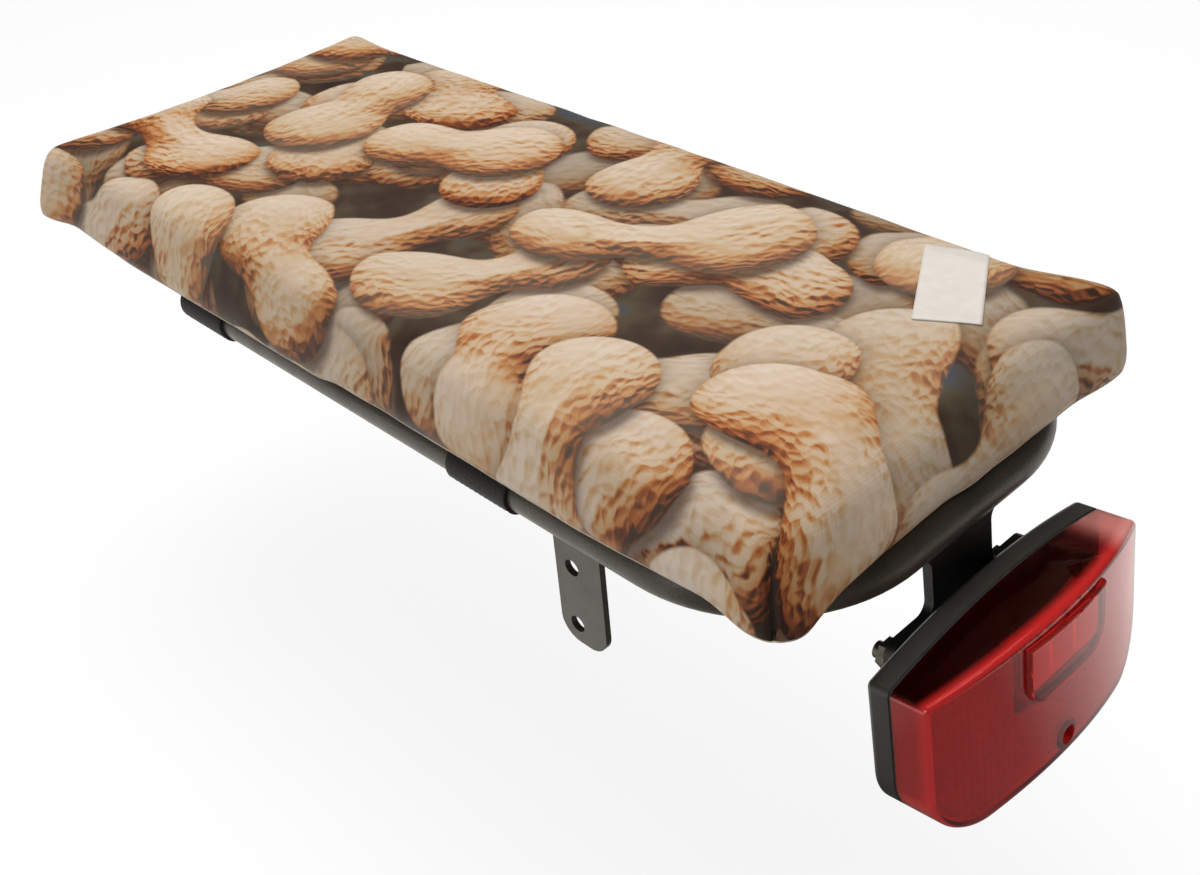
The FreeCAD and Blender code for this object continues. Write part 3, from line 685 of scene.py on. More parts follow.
for (end, side), ear in ears.items():
    near = np.exp(-(to_corner / ear["spread"]) ** 4) * (half_x == end) * (half_y == side)
    out = ear["foot"] + (ear["top"] - ear["foot"]) * high
    at[:, 0] += end * out * near
    at[:, 1] += side * out * near
    at[:, 2] -= ear["hang"] * near * (1 - high)
by_side = beside(to_side, hem_width) * eased(1 - high)
by_end = beside(to_end, hem_width) * eased(1 - high)
slack = eased(to_end / sag_ease) * (half_y < 0) * by_side
tail_slack = eased(to_side / tail_ease) * beside(to_side, tail_reach) * by_end
tail_slack *= (half_x > 0) * (half_y < 0)
at[:, 0] += half_x * hem_out * by_end + tail_out * tail_slack
at[:, 1] += half_y * hem_out * by_side - sag_out * slack
at[:, 2] -= hem_down * np.maximum(by_side, by_end) + sag_down * slack + tail_down * tail_slack
far_edge = beside(to_side, full_edge_width) * (half_y > 0) * eased(high)
front_edge = beside(to_end, full_edge_width) * (half_x < 0) * eased(high)
at[:, 0] -= front_edge_out * front_edge
at[:, 1] += far_edge_out * far_edge
at[:, 2] += np.maximum(far_edge_up * far_edge, front_edge_up * front_edge)
at[:, 2] += lip_height * eased((to_rim - lip_start) / lip_ease) * under
hem_wave = np.array([
    noise.noise(Vector((x * wave_grain, y * wave_grain, wave_layer))) for x, y, z in cut])
at[:, 2] += wave_height * hem_wave * (1 - high) ** 2 * (to_rim < wave_band)
pucker = np.array([noise.noise(Vector(place) * pucker_grain) for place in cut])
pucker *= pucker_height * np.exp(-to_rim / pucker_reach)
normals = np.empty(len(at) * 3, np.float32)
cover_mesh.vertex_normals.foreach_get("vector", normals)
at += normals.reshape(-1, 3) * pucker[:, None]
on_seam = (to_end < line_width) & (to_side < line_width) & (high < seam_top)
inward = np.stack([-half_x, -half_y, 0 * high], axis=1)
crease = seam_depth * beside(to_corner, seam_width) * eased((seam_top - high) / seam_ease) * ~under
at += inward * crease[:, None]
cover_mesh.vertices.foreach_set("co", at.astype(np.float32).ravel())
cover_mesh.update()
cover_mesh.shade_smooth()

# Print of the cover: an all-over heap of two-lobed nut pods in cream, tan and brown, drawn in
# its own loose layout, soft and darker in its depth. It runs over the edges to the hem. Lengths
# of the print are in millimetres on the cloth.

pod_layers = (
    {"tries": 60, "size": 0.9, "level": 0.60, "soft": 1.4},
    {"tries": 500, "size": 0.95, "level": 0.78, "soft": 0.9},
    {"tries": 900, "size": 1.0, "level": 0.90, "soft": 0.7},
    {"tries": 500, "size": 1.0, "level": 0.97, "soft": 0.6},
    {"tries": 45, "size": 1.04, "level": 1.0, "soft": 0.5},
)
pod_draw = np.random.default_rng(41)
print_reach = (235.0, 125.0)
print_light = np.array([-0.56, 0.61, 0.56])
head_r = (16.5, 21.5)
tail_r = (15.5, 20.5)
pod_span = (32, 56)
neck_share = (0.46, 0.7)
pod_bend = 4
bend_limit = 1.4
pod_gap = 1
pod_blend = 4.2
blend_limits = (-180, 60)
pod_reach = 90
no_pod = -40
crest_margin = 1
girth_margin = 3
lit_base = 0.30
lit_gain = 0.62
mark_step = 31.0
shadow_shift = 5
shadow_soft = 5
contact_shade = 0.45
contact_reach = 3

drop = np.maximum(0, cover_high.z - cut[:, 2])
down_side = to_side < 1e-5
across_end = (to_end < 1e-5) & ~down_side
print_p = (cut[:, 0] - cover_middle.x + half_x * drop * across_end) / mm
print_q = (cut[:, 1] + half_y * drop * down_side) / mm


def throw_pods(tries, size):
    """One layer of pods, thrown in turn and kept where they lie clear of the layer's others."""
    laid = []
    for _ in range(tries):
        head = pod_draw.uniform(*head_r) * size
        tail = pod_draw.uniform(*tail_r) * size
        pod = {
            "p": pod_draw.uniform(-1, 1) * print_reach[0],
            "q": pod_draw.uniform(-1, 1) * print_reach[1],
            "lean": pod_draw.uniform(0, 2 * math.pi),
            "head": head,
            "tail": tail,
            "span": pod_draw.uniform(*pod_span) * size,
            "neck": min(head, tail) * pod_draw.uniform(*neck_share),
            "bend": pod_draw.uniform(-pod_bend, pod_bend),
            "tone": pod_draw.uniform(0, 1),
        }
        way = np.array([math.cos(pod["lean"]), math.sin(pod["lean"])]) * pod["span"] / 2
        middle = np.array([pod["p"], pod["q"]])
        pod["discs"] = [(middle - way, tail), (middle, pod["neck"]), (middle + way, head)]
        if all(
            np.hypot(*(a - b)) > ra + rb + pod_gap
            for other in laid for a, ra in other["discs"] for b, rb in pod["discs"]
        ):
            laid.append(pod)
    return laid


def pod_field(pod, p, q):
    """How deep points are in a pod, the way out of it, and their places along and across it."""
    c, s = math.cos(pod["lean"]), math.sin(pod["lean"])
    half = pod["span"] / 2
    along = (p - pod["p"]) * c + (q - pod["q"]) * s
    across = (q - pod["q"]) * c - (p - pod["p"]) * s
    across = across - pod["bend"] * (np.clip(along / half, -bend_limit, bend_limit) ** 2 - 0.5)
    total = out_along = out_across = 0
    for centre, radius in (
        (-half, pod["tail"]), (half, pod["head"]), (np.clip(along, -half, half), pod["neck"])
    ):
        reach = np.maximum(np.hypot(along - centre, across), 1e-6)
        weight = np.exp(np.clip(radius - reach, *blend_limits) / pod_blend)
        total = total + weight
        out_along = out_along + weight * (along - centre) / reach
        out_across = out_across + weight * across / reach
    out_along, out_across = out_along / total, out_across / total
    way_out = np.stack([out_along * c - out_across * s, out_along * s + out_across * c])
    return pod_blend * np.log(total), way_out, along, across


def keep_values(name, kind, values):
    """Stores one row of values for each of the cover's points."""
    field = "color" if kind == "FLOAT_COLOR" else "vector"
    cover_mesh.attributes.new(name, kind, "POINT").data.foreach_set(field, values.ravel())


cast = np.zeros(len(cut))
for number in reversed(range(len(pod_layers))):
    layer = pod_layers[number]
    place = np.zeros((len(cut), 3), np.float32)
    light_way = np.zeros((len(cut), 3), np.float32)
    tone = np.zeros((len(cut), 4), np.float32)
    tone[:, 0] = no_pod
    tone[:, 3] = cast
    shadow = cast.copy()
    for pod in throw_pods(layer["tries"], layer["size"]):
        close = np.flatnonzero(np.hypot(print_p - pod["p"], print_q - pod["q"]) < pod_reach)
        if len(close) == 0:
            continue
        p, q = print_p[close], print_q[close]
        depth, way_out, along, across = pod_field(pod, p, q)
        radius = (pod["head"] + pod["tail"] + pod["neck"]) / 3 + crest_margin
        slope = np.clip(1 - depth / radius, 0, 1)
        facing = slope * (way_out[0] * print_light[0] + way_out[1] * print_light[1])
        lit = facing + np.sqrt(1 - slope ** 2) * print_light[2]
        nearer = depth > tone[close, 0]
        on = close[nearer]
        tone[on, 0] = depth[nearer]
        tone[on, 1] = np.clip(lit_base + lit_gain * lit[nearer], 0, 1)
        tone[on, 2] = pod["tone"]
        girth = radius * np.arcsin(np.clip(across / (radius + girth_margin), -1, 1))
        mark = np.full(len(on), mark_step * (len(pod_layers) * pod["tone"] + number + 1))
        place[on] = np.stack([along[nearer], girth[nearer], mark], axis=1)
        c, s = math.cos(pod["lean"]), math.sin(pod["lean"])
        light_way[on] = (
            c * print_light[0] + s * print_light[1], c * print_light[1] - s * print_light[0], 0)
        lit_from = print_light * shadow_shift
        shade = pod_field(pod, p + lit_from[0], q + lit_from[1])[0]
        contact = contact_shade * np.exp(np.minimum(depth, 0) / contact_reach)
        dim = np.maximum(eased(shade / shadow_soft + 0.5), contact)
        shadow[close] = np.maximum(shadow[close], dim)
    cast = shadow
    keep_values("pod_place_%d" % number, "FLOAT_VECTOR", place)
    keep_values("pod_light_%d" % number, "FLOAT_VECTOR", light_way)
    keep_values("pod_tone_%d" % number, "FLOAT_COLOR", tone)

# Cloth of the cover: the print's inks on a fine weave under a thin satin coat. Each pod's shell
# has a net of ridges round small pits, printed as light and shade, and the gaps are dark.

net_grain = (0.23, 0.34, 1.0)
furrow_grain = (0.045, 0.26, 1.0)
furrow_share = 0.9
warp_grain = 0.12
warp_reach = (7.0, 5.0, 0.0)
relief_step = 0.7
relief_patch = (0.04, 0.06, 1.0)
relief_loss = -0.3
ridge_limit = 0.12
speckle_grain = (0.3, 0.4, 1.0)
speckle_share = 0.14
aged_shell = (0.46, 0.42, 0.30)
aged_share = 0.2
shadow_ink = (0.045, 0.016, 0.008)
shadow_share = 0.8
shell_inks = (
    (0.0, (0.034, 0.010, 0.005)), (0.13, (0.13, 0.028, 0.007)), (0.25, (0.29, 0.078, 0.016)),
    (0.37, (0.42, 0.175, 0.052)), (0.49, (0.48, 0.295, 0.150)), (0.62, (0.52, 0.385, 0.260)),
    (0.80, (0.58, 0.46, 0.355)), (1.0, (0.63, 0.535, 0.45)))
cloth_weave = {"Scale": 420.0, "Distortion": 0.6}
cloth_rough = (0.5, 0.6)
gloss_grain = 130
gap_grain = 55
gap_inks = (
    (0.3, (0.028, 0.014, 0.009)), (0.5, (0.050, 0.028, 0.018)), (0.62, (0.075, 0.058, 0.034)),
    (0.74, (0.05, 0.06, 0.09)))
printed, tree, shader = new_finish("printed_cloth")


def shell_height(place):
    """Height of a pod's shell: a net of ridges round small pits, and furrows along the pod."""
    net_place = add_node(tree, "Mapping", {"Scale": net_grain})
    tree.links.new(place, net_place.inputs["Vector"])
    net = add_node(tree, "TexVoronoi", {"Scale": 1.0, "Randomness": 0.9})
    tree.links.new(net_place.outputs["Vector"], net.inputs["Vector"])
    furrows = add_noise(tree, 1.0, stretch=furrow_grain, coordinates=place)
    return calculate(tree, "MULTIPLY_ADD", furrows, furrow_share, net.outputs["Distance"])


def moved_by(vector, scale, start):
    """A place moved along a vector, scaled along each axis."""
    moved = add_node(tree, "VectorMath", {1: scale}, operation="MULTIPLY_ADD")
    tree.links.new(vector, moved.inputs[0])
    tree.links.new(start, moved.inputs[2])
    return moved.outputs[0]


def pod_skin(number, below):
    """A layer of pods over what is below: netted shell, lit from one side, rusty in its shade."""
    level, soft = pod_layers[number]["level"], pod_layers[number]["soft"]
    tone = add_node(tree, "Attribute", attribute_name="pod_tone_%d" % number)
    place = add_node(tree, "Attribute", attribute_name="pod_place_%d" % number).outputs["Vector"]
    light_way = add_node(tree, "Attribute", attribute_name="pod_light_%d" % number).outputs["Vector"]
    parts = add_node(tree, "SeparateColor")
    tree.links.new(tone.outputs["Color"], parts.inputs["Color"])
    depth, lit, kind = (parts.outputs[name] for name in ("Red", "Green", "Blue"))
    warp = add_node(tree, "TexNoise", {"Scale": warp_grain, "Detail": 2.0})
    tree.links.new(place, warp.inputs["Vector"])
    warped = moved_by(warp.outputs["Color"], warp_reach, place)
    heights = [
        shell_height(moved_by(light_way, (step, step, 0.0), warped))
        for step in (-relief_step, relief_step)]
    relief = calculate(tree, "SUBTRACT", *heights)
    patchy = add_noise(tree, 1.0, detail=2.0, stretch=relief_patch, coordinates=place)
    patchy = grey_ramp(tree, patchy, (0.38, 0.35), (0.6, 1))
    strength = calculate(tree, "MULTIPLY_ADD", lit, relief_loss, 1.0)
    relief = calculate(tree, "MULTIPLY", relief, calculate(tree, "MULTIPLY", patchy, strength))
    pits = calculate(tree, "MINIMUM", relief, ridge_limit)
    speckle = add_noise(tree, 1.0, stretch=speckle_grain, coordinates=place)
    speckle = calculate(tree, "SUBTRACT", speckle, 0.5)
    light = calculate(tree, "ADD", lit, pits)
    light = calculate(tree, "MULTIPLY_ADD", speckle, speckle_share, light)
    colour = add_ramp(tree, light, [
        (stop, tuple(level * channel for channel in ink)) for stop, ink in shell_inks])
    aged = tuple(level * channel for channel in aged_shell)
    colour = blend_colours(tree, calculate(tree, "MULTIPLY", kind, aged_share), colour, aged)
    shaded = calculate(tree, "MULTIPLY", tone.outputs["Alpha"], shadow_share)
    colour = blend_colours(tree, shaded, colour, shadow_ink)
    return blend_colours(tree, smooth_range(tree, depth, -soft, soft), below, colour)


colour = add_ramp(tree, add_noise(tree, gap_grain, detail=2.0), gap_inks)
for number in range(len(pod_layers)):
    colour = pod_skin(number, colour)
tree.links.new(colour, shader.inputs["Base Color"])
weave_place = add_node(tree, "TexCoord").outputs["Object"]
weave = [add_node(tree, "TexWave", cloth_weave, bands_direction=way) for way in "XY"]
for band in weave:
    tree.links.new(weave_place, band.inputs["Vector"])
crossing = calculate(tree, "MULTIPLY", weave[0].outputs["Fac"], weave[1].outputs["Fac"])
add_bump(tree, shader, crossing, depth=0.03 * mm)
gloss = grey_ramp(tree, add_noise(tree, gloss_grain), (0.3, cloth_rough[0]), (0.7, cloth_rough[1]))
tree.links.new(gloss, shader.inputs["Roughness"])
shader.inputs["Specular IOR Level"].default_value = 0.22
cover_mesh.materials.clear()
cover_mesh.materials.append(printed)
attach(cover, "root")
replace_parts(cover, "cushion_cover")

# Hem: the pale cut edge of the coated cloth, turned under the pad. It shows as a thin line round
# the cover's foot.

hem_r = 0.25 * mm
hem_unevenness = 0.05
hem_pale = grained_finish(
    "hem_pale", dark=(0.5, 0.42, 0.36), light=(0.66, 0.58, 0.5),
    patch=300, rough=(0.6, 0.75), grain=2500, depth=0.05 * mm)
at_hem = np.flatnonzero(under & (to_rim < line_width))
round_trip = np.arctan2(
    cut[at_hem, 1] / cover_reach.y, (cut[at_hem, 0] - cover_middle.x) / cover_reach.x)
hem_line = [Vector(at[i]) for i in at_hem[np.argsort(round_trip)]]
rounded_line("seat_hem", [(hem_line, True)], hem_r, hem_unevenness, hem_pale)

# Base panel: black woven cloth that closes the cushion from below. It is sewn into the cover's
# turned hem and lies slightly uneven.

base_low, base_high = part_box("base_panel")
base_inset = 6.0 * mm
base_cells = (68, 27)
base_thick = 0.9 * mm
base_wave = 0.25 * mm
base_wave_grain = 25
yarn_grain = 240
thread_share = 0.6


def woven(name, dark, light, threads, depth, rough):
    """Plain weave: two crossed sets of threads with slightly uneven colour."""
    finish, tree, shader = new_finish(name)
    place = add_node(tree, "TexCoord").outputs["Object"]
    crossing = add_node(tree, "Math", operation="MULTIPLY")
    for i, way in enumerate("XY"):
        band = add_node(tree, "TexWave", {"Scale": threads, "Distortion": 0.4}, bands_direction=way)
        tree.links.new(place, band.inputs["Vector"])
        tree.links.new(band.outputs["Fac"], crossing.inputs[i])
    uneven = calculate(
        tree, "MULTIPLY_ADD", crossing.outputs[0], thread_share, add_noise(tree, yarn_grain))
    shades = add_ramp(tree, uneven, [(0.3, dark), (1.0, light)])
    tree.links.new(shades, shader.inputs["Base Color"])
    add_bump(tree, shader, crossing.outputs[0], depth)
    shader.inputs["Roughness"].default_value = rough
    shader.inputs["Sheen Weight"].default_value = 0.2
    return finish


base_cloth = woven(
    "base_cloth", dark=(0.008, 0.008, 0.009), light=(0.03, 0.03, 0.032), threads=260,
    depth=0.12 * mm, rough=0.8)
base_build = bmesh.new()
bmesh.ops.create_grid(base_build, x_segments=base_cells[0], y_segments=base_cells[1], size=0.5)
bmesh.ops.scale(base_build, verts=base_build.verts, vec=(
    base_high.x - base_low.x - 2 * base_inset, base_high.y - base_low.y - 2 * base_inset, 1))
bmesh.ops.translate(base_build, verts=base_build.verts, vec=(
    (base_low.x + base_high.x) / 2, 0, base_low.z + base_thick))
for point in base_build.verts:
    point.co.z += base_wave * noise.noise(point.co * base_wave_grain)
bmesh.ops.recalc_face_normals(base_build, faces=base_build.faces)
bmesh.ops.solidify(base_build, geom=base_build.faces, thickness=base_thick)
base_panel = finished("seat_base", base_build, base_cloth)
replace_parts(base_panel, "base_panel")

# Stitching: black thread down each corner's seam and round the base panel's border, in single
# stitches a few millimetres long.

stitch_length = 3.0 * mm
stitch_gap = 0.3 * mm
thread_r = 0.28 * mm
thread_lift = 0.3 * thread_r
thread_drop = 0.1 * mm
border = base_inset + 2.5 * mm
thread_black = grained_finish(
    "thread_black", dark=(0.01, 0.009, 0.009), light=(0.03, 0.028, 0.027),
    patch=900, rough=(0.6, 0.75), grain=4000, depth=0.05 * mm)


def sew(build, points):
    """Sets stitches along a line of points."""
    travel = [0.0]
    for a, b in zip(points, points[1:]):
        travel.append(travel[-1] + (b - a).length)
    starts = np.arange(stitch_gap / 2, travel[-1] - stitch_length, stitch_length + stitch_gap)
    line = np.array([tuple(p) for p in points])
    for start in starts:
        ends = [
            Vector([float(np.interp(s, travel, line[:, axis])) for axis in range(3)])
            for s in (start, start + stitch_length)
        ]
        way = ends[1] - ends[0]
        turn = way.to_track_quat("Z", "Y").to_matrix().to_4x4()
        grown = Matrix.Diagonal((thread_r, thread_r, way.length / 2, 1))
        bmesh.ops.create_uvsphere(
            build, u_segments=6, v_segments=5, radius=1.0,
            matrix=Matrix.Translation((ends[0] + ends[1]) / 2) @ turn @ grown)


stitch_build = bmesh.new()
for end in (-1, 1):
    for side in (-1, 1):
        here = on_seam & (half_x == end) & (half_y == side)
        order = np.flatnonzero(here)[np.argsort(high[here])]
        away = Vector((end, side, 0)).normalized() * thread_lift
        sew(stitch_build, [Vector(at[i]) + away for i in order])
border_corners = [
    Vector((x, y, base_low.z - thread_drop)) for x, y in (
        (base_low.x + border, base_low.y + border), (base_high.x - border, base_low.y + border),
        (base_high.x - border, base_high.y - border), (base_low.x + border, base_high.y - border))]
for a, b in zip(border_corners, border_corners[1:] + border_corners[:1]):
    sew(stitch_build, [a, b])
finished("seat_stitches", stitch_build, thread_black)

# Label: a blank white woven label, fixed flat on the cover's top near the rear corner. It follows
# the cloth below it.

label_length = 43.5 * mm
label_width = 18.5 * mm
label_cells = (44, 19)
label_turn = math.radians(-59.3)
label_thick = 0.35 * mm
label_lift = 0.12 * mm
look_height = 20 * mm
label_low, label_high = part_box("label_patch")
label_middle = (label_low + label_high) / 2
label_cloth = woven(
    "label_cloth", dark=(0.60, 0.585, 0.565), light=(0.71, 0.695, 0.67), threads=900,
    depth=0.02 * mm, rough=0.55)
cover_surface = BVHTree.FromPolygons(
    [tuple(place) for place in at], [tuple(face.vertices) for face in cover_mesh.polygons])
label_build = bmesh.new()
bmesh.ops.create_grid(label_build, x_segments=label_cells[0], y_segments=label_cells[1], size=0.5)
bmesh.ops.scale(label_build, verts=label_build.verts, vec=(label_length, label_width, 1))
bmesh.ops.rotate(
    label_build, verts=label_build.verts, cent=(0, 0, 0), matrix=Matrix.Rotation(label_turn, 3, "Z"))
bmesh.ops.translate(label_build, verts=label_build.verts, vec=(label_middle.x, label_middle.y, 0))
for point in label_build.verts:
    above = Vector((point.co.x, point.co.y, cover_high.z + look_height))
    point.co.z = cover_surface.ray_cast(above, Vector((0, 0, -1)))[0].z + label_lift
label_build.normal_update()
bmesh.ops.reverse_faces(label_build, faces=[f for f in label_build.faces if f.normal.z < 0])
bmesh.ops.solidify(label_build, geom=label_build.faces, thickness=-label_thick)
label = finished("seat_label", label_build, label_cloth)
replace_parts(label, "label_patch")

# Straps: black ribbed webbing round both rails, under the cushion on top and closed below the
# rack by hook tape, with the tail outside.

strap_width = 25.0 * mm
strap_thick = 1.8 * mm
strap_ribs = 24
rib_height = 0.14 * mm
strap_clear = 0.1 * mm
tape_space = 1.2 * mm
strap_layer = tube_r + strap_clear + strap_thick / 2
tail_layer = strap_layer + strap_thick + tape_space
tail_y = 35.0 * mm
step_half = 6.0 * mm
step_y = tail_y + 2 * step_half
webbing, tree, shader = new_finish("webbing")
twill = add_node(tree, "TexWave", {"Scale": 330.0, "Distortion": 1.2}, bands_direction="DIAGONAL")
tree.links.new(add_node(tree, "TexCoord").outputs["Object"], twill.inputs["Vector"])
twill_black = add_ramp(tree, twill.outputs["Fac"], [
    (0.1, (0.003, 0.003, 0.0032)), (0.9, (0.009, 0.009, 0.0092))])
tree.links.new(twill_black, shader.inputs["Base Color"])
add_bump(tree, shader, twill.outputs["Fac"], depth=0.06 * mm)
shader.inputs["Roughness"].default_value = 0.62
shader.inputs["Specular IOR Level"].default_value = 0.3
shader.inputs["Sheen Weight"].default_value = 0.05


def carry(build, front, y, z, steps):
    """Extrudes a strip's end edge straight to that place, and gives its new end edge."""
    start = front[0].verts[0].co.copy()
    way = Vector((0, y - start.y, z - start.z)) / steps
    for _ in range(steps):
        grown = bmesh.ops.extrude_edge_only(build, edges=front)["geom"]
        front = [
            g for g in grown
            if isinstance(g, bmesh.types.BMEdge) and abs(g.verts[0].co.x - g.verts[1].co.x) > 1e-9]
        bmesh.ops.translate(build, verts=list({v for e in front for v in e.verts}), vec=way)
    return front


def wrap(build, front, y):
    """Carries a strip's end edge half round a rail, and gives its new end edge."""
    grown = bmesh.ops.spin(
        build, geom=front, cent=(0, y, 0), axis=(1, 0, 0), angle=-math.pi, steps=18)["geom_last"]
    return [g for g in grown if isinstance(g, bmesh.types.BMEdge)]


def strap_piece(name, node):
    """One strap: a strip carried along its run, given its thickness and then its ribs."""
    low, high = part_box(node)
    x_middle = (low.x + high.x) / 2
    build = bmesh.new()
    knots = [
        build.verts.new((x_middle + (i / strap_ribs - 0.5) * strap_width, tail_y, -strap_layer))
        for i in range(strap_ribs + 1)]
    front = [build.edges.new(pair) for pair in zip(knots, knots[1:])]
    front = carry(build, front, -rail_y, -strap_layer, steps=30)
    front = wrap(build, front, -rail_y)
    front = carry(build, front, rail_y, strap_layer, steps=40)
    front = wrap(build, front, rail_y)
    front = carry(build, front, step_y + step_half, -strap_layer, steps=4)
    front = carry(build, front, step_y, (-strap_layer - tail_layer) / 2, steps=3)
    front = carry(build, front, step_y - step_half, -tail_layer, steps=3)
    carry(build, front, -tail_y, -tail_layer, steps=22)
    bmesh.ops.recalc_face_normals(build, faces=build.faces)
    bmesh.ops.solidify(build, geom=build.faces, thickness=strap_thick)
    bmesh.ops.recalc_face_normals(build, faces=build.faces)
    build.normal_update()
    for point in build.verts:
        share = (point.co.x - x_middle) / strap_width + 0.5
        point.co += point.normal * rib_height * math.cos(math.pi * strap_ribs * share)
    piece = finished(name, build, webbing)
    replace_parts(piece, node)


strap_piece("front_webbing", "front_strap")
strap_piece("rear_webbing", "rear_strap")

# Hook tape: stiff black tape with a field of fine hooks, sewn between each strap's two layers
# where the strap is closed.

tape_edge = 0.25 * mm
hook_nap = grained_finish(
    "hook_nap", dark=(0.008, 0.008, 0.008), light=(0.03, 0.03, 0.03),
    patch=1500, rough=(0.6, 0.8), grain=2600, depth=0.4 * mm)
for name, node in (("front_tape", "front_hook_tape"), ("rear_tape", "rear_hook_tape")):
    tape_low, tape_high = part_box(node)
    tape_build = bmesh.new()
    bmesh.ops.create_cube(tape_build, size=1.0)
    bmesh.ops.scale(tape_build, vec=tape_high - tape_low, verts=tape_build.verts)
    bmesh.ops.translate(tape_build, vec=(tape_low + tape_high) / 2, verts=tape_build.verts)
    bmesh.ops.bevel(
        tape_build, geom=tape_build.edges, offset=tape_edge, segments=3, profile=0.5, affect="EDGES",
        material=-1)
    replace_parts(finished(name, tape_build, hook_nap), node)

# Studio floor: a pale floor well below the lamp, as for a part that is held up. Seen straight or
# through the lens it glows an even white. In mirrors it is dark near the rack's left side and
# brighter to the right and ahead, so that the lens's face pales to one side.

floor_drop = 90 * mm
floor_reach = 6.0
floor_glow = 1.05
glow_share = 0.82
mirror_ahead = 1.4
mirror_behind = {"From Min": 220 * mm, "From Max": 300 * mm}
mirror_across = {"From Min": 70 * mm, "From Max": 205 * mm, "To Min": 0.06, "To Max": 1.05}
plain_white = (1.0, 1.0, 1.0)
warm_white = (1.0, 0.955, 0.90)


def mirrored_rays(tree, seen):
    """1 for rays that were mirrored, and 0 for those that were bent through clear plastic."""
    return calculate(
        tree, "SUBTRACT", seen.outputs["Is Glossy Ray"], seen.outputs["Is Transmission Ray"])


floor_build = bmesh.new()
bmesh.ops.create_grid(floor_build, x_segments=1, y_segments=1, size=floor_reach)
bmesh.ops.translate(floor_build, verts=floor_build.verts, vec=(0, 0, cad_box[0].z - floor_drop))
floor_mesh = bpy.data.meshes.new("studio_floor")
floor_build.to_mesh(floor_mesh)
floor_build.free()
floor = bpy.data.objects.new("studio_floor", floor_mesh)
scene.collection.objects.link(floor)
floor_white, tree, shader = new_finish("floor_white")
shader.inputs["Base Color"].default_value = (0.82, 0.86, 0.91, 1)
shader.inputs["Roughness"].default_value = 0.9
shader.inputs["Specular IOR Level"].default_value = 0.0
spot = axes_of(tree, add_node(tree, "TexCoord").outputs["Object"])
across = add_node(tree, "MapRange", mirror_across)
tree.links.new(spot["Y"], across.inputs["Value"])
behind = add_node(tree, "MapRange", mirror_behind)
tree.links.new(spot["X"], behind.inputs["Value"])
mirrored = add_node(tree, "Mix", {2: mirror_ahead}, data_type="FLOAT")
tree.links.new(behind.outputs["Result"], mirrored.inputs[0])
tree.links.new(across.outputs["Result"], mirrored.inputs[3])
seen = add_node(tree, "LightPath")
in_mirror = mirrored_rays(tree, seen)
bright = add_node(tree, "Mix", {2: floor_glow}, data_type="FLOAT")
tree.links.new(in_mirror, bright.inputs[0])
tree.links.new(mirrored.outputs[0], bright.inputs[3])
glow = add_node(tree, "Emission")
tree.links.new(blend_colours(tree, in_mirror, plain_white, warm_white), glow.inputs["Color"])
tree.links.new(bright.outputs[0], glow.inputs["Strength"])
direct = seen.outputs["Is Camera Ray"]
for ray in ("Is Glossy Ray", "Is Transmission Ray"):
    direct = calculate(tree, "MAXIMUM", direct, seen.outputs[ray])
floor_mix = add_node(tree, "MixShader")
tree.links.new(calculate(tree, "MULTIPLY", direct, glow_share), floor_mix.inputs["Fac"])
tree.links.new(shader.outputs["BSDF"], floor_mix.inputs[1])
tree.links.new(glow.outputs["Emission"], floor_mix.inputs[2])
tree.links.new(floor_mix.outputs["Shader"], tree.nodes["Material Output"].inputs["Surface"])
floor_mesh.materials.append(floor_white)

# Studio light: a warm white surround, plain white behind the part and dim in mirrors, with a
# broad lamp overhead and a softer one beside the camera.

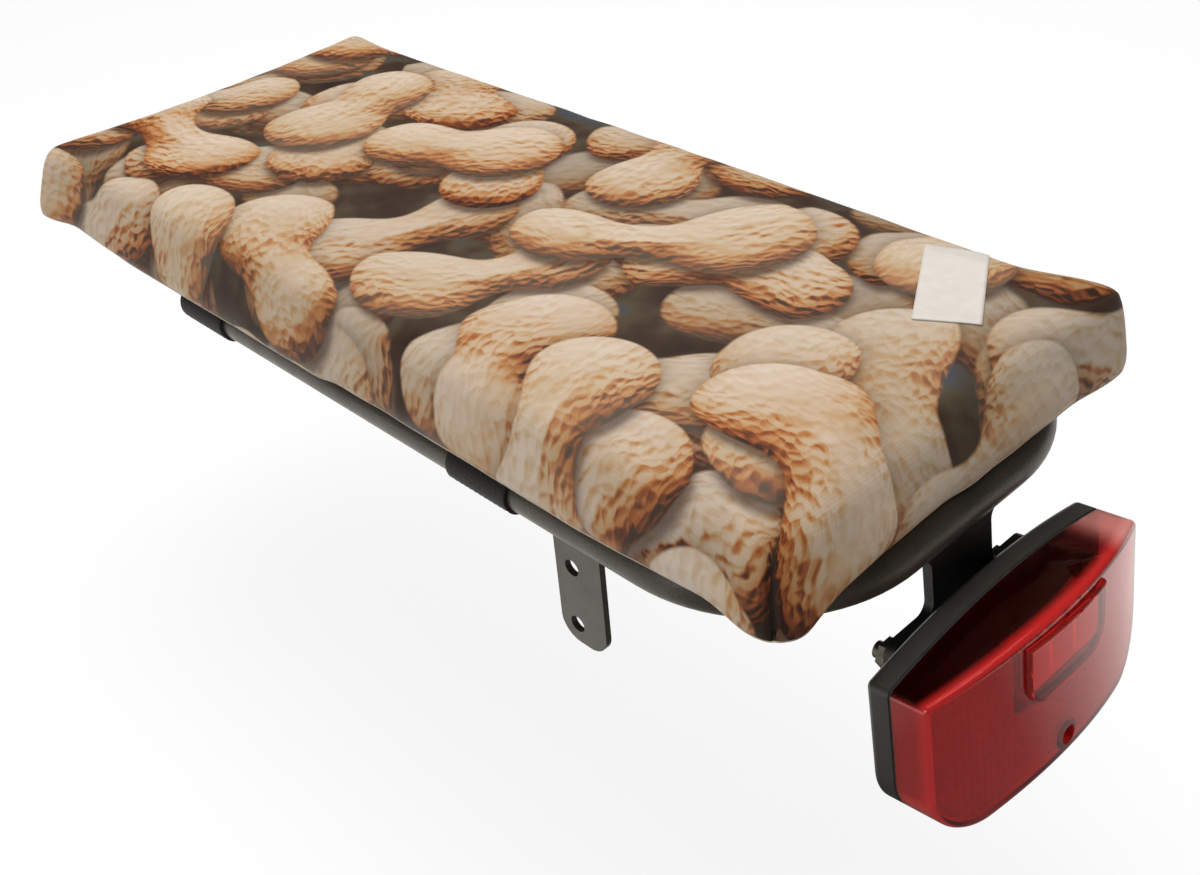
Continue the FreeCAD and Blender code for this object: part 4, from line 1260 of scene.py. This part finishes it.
surround_light = 0.345
surround_mirrored = 0.07
surround_through = 0.8
seat_middle = Vector((0.165, 0, 0.02))
world = bpy.data.worlds.new("studio_surround")
scene.world = world
world.use_nodes = True
tree = world.node_tree
backdrop = tree.nodes["Background"]
seen = add_node(tree, "LightPath")
to_camera = seen.outputs["Is Camera Ray"]
around = add_node(tree, "MapRange", {"To Min": surround_light, "To Max": surround_mirrored})
tree.links.new(mirrored_rays(tree, seen), around.inputs["Value"])
through_lens = calculate(tree, "MULTIPLY", seen.outputs["Is Transmission Ray"], surround_through)
strength = calculate(
    tree, "MAXIMUM", around.outputs["Result"], calculate(tree, "MAXIMUM", through_lens, to_camera))
tree.links.new(strength, backdrop.inputs["Strength"])
tree.links.new(blend_colours(tree, to_camera, warm_white, plain_white), backdrop.inputs["Color"])


def add_lamp(name, place, aim, size, watts):
    """A square soft lamp that points at a place."""
    data = bpy.data.lights.new(name, "AREA")
    data.size = size
    data.energy = watts
    data.color = warm_white
    lamp = bpy.data.objects.new(name, data)
    lamp.matrix_world = Matrix.Translation(place) @ (
        (place - aim).to_track_quat("Z", "Y").to_matrix().to_4x4())
    scene.collection.objects.link(lamp)


add_lamp("overhead_lamp", Vector((0.0, 0.15, 1.1)), seat_middle, size=0.9, watts=12.7)
add_lamp("camera_side_lamp", Vector((0.1, -1.3, 0.45)), seat_middle, size=0.6, watts=3.4)

# Camera: the photograph's view, from behind and to the left of the bicycle, with its slight
# lean. Sizes are in metres and degrees.

camera_place = Vector((0.5048, -0.2631, 0.2410))
camera_azimuth = math.radians(48.76)
camera_elevation = math.radians(35.17)
camera_lean = math.radians(-5.16)
camera_back = Vector((
    math.sin(camera_azimuth) * math.cos(camera_elevation),
    -math.cos(camera_azimuth) * math.cos(camera_elevation),
    math.sin(camera_elevation),
))
camera_data = bpy.data.cameras.new("camera")
camera_data.sensor_width = 36.0
camera_data.lens = 43.76
camera = bpy.data.objects.new("camera", camera_data)
scene.collection.objects.link(camera)
level = camera_back.to_track_quat("Z", "Y").to_matrix().to_4x4()
camera.matrix_world = Matrix.Translation(camera_place) @ level @ Matrix.Rotation(camera_lean, 4, "Z")
scene.camera = camera

scene.view_settings.view_transform = "Standard"
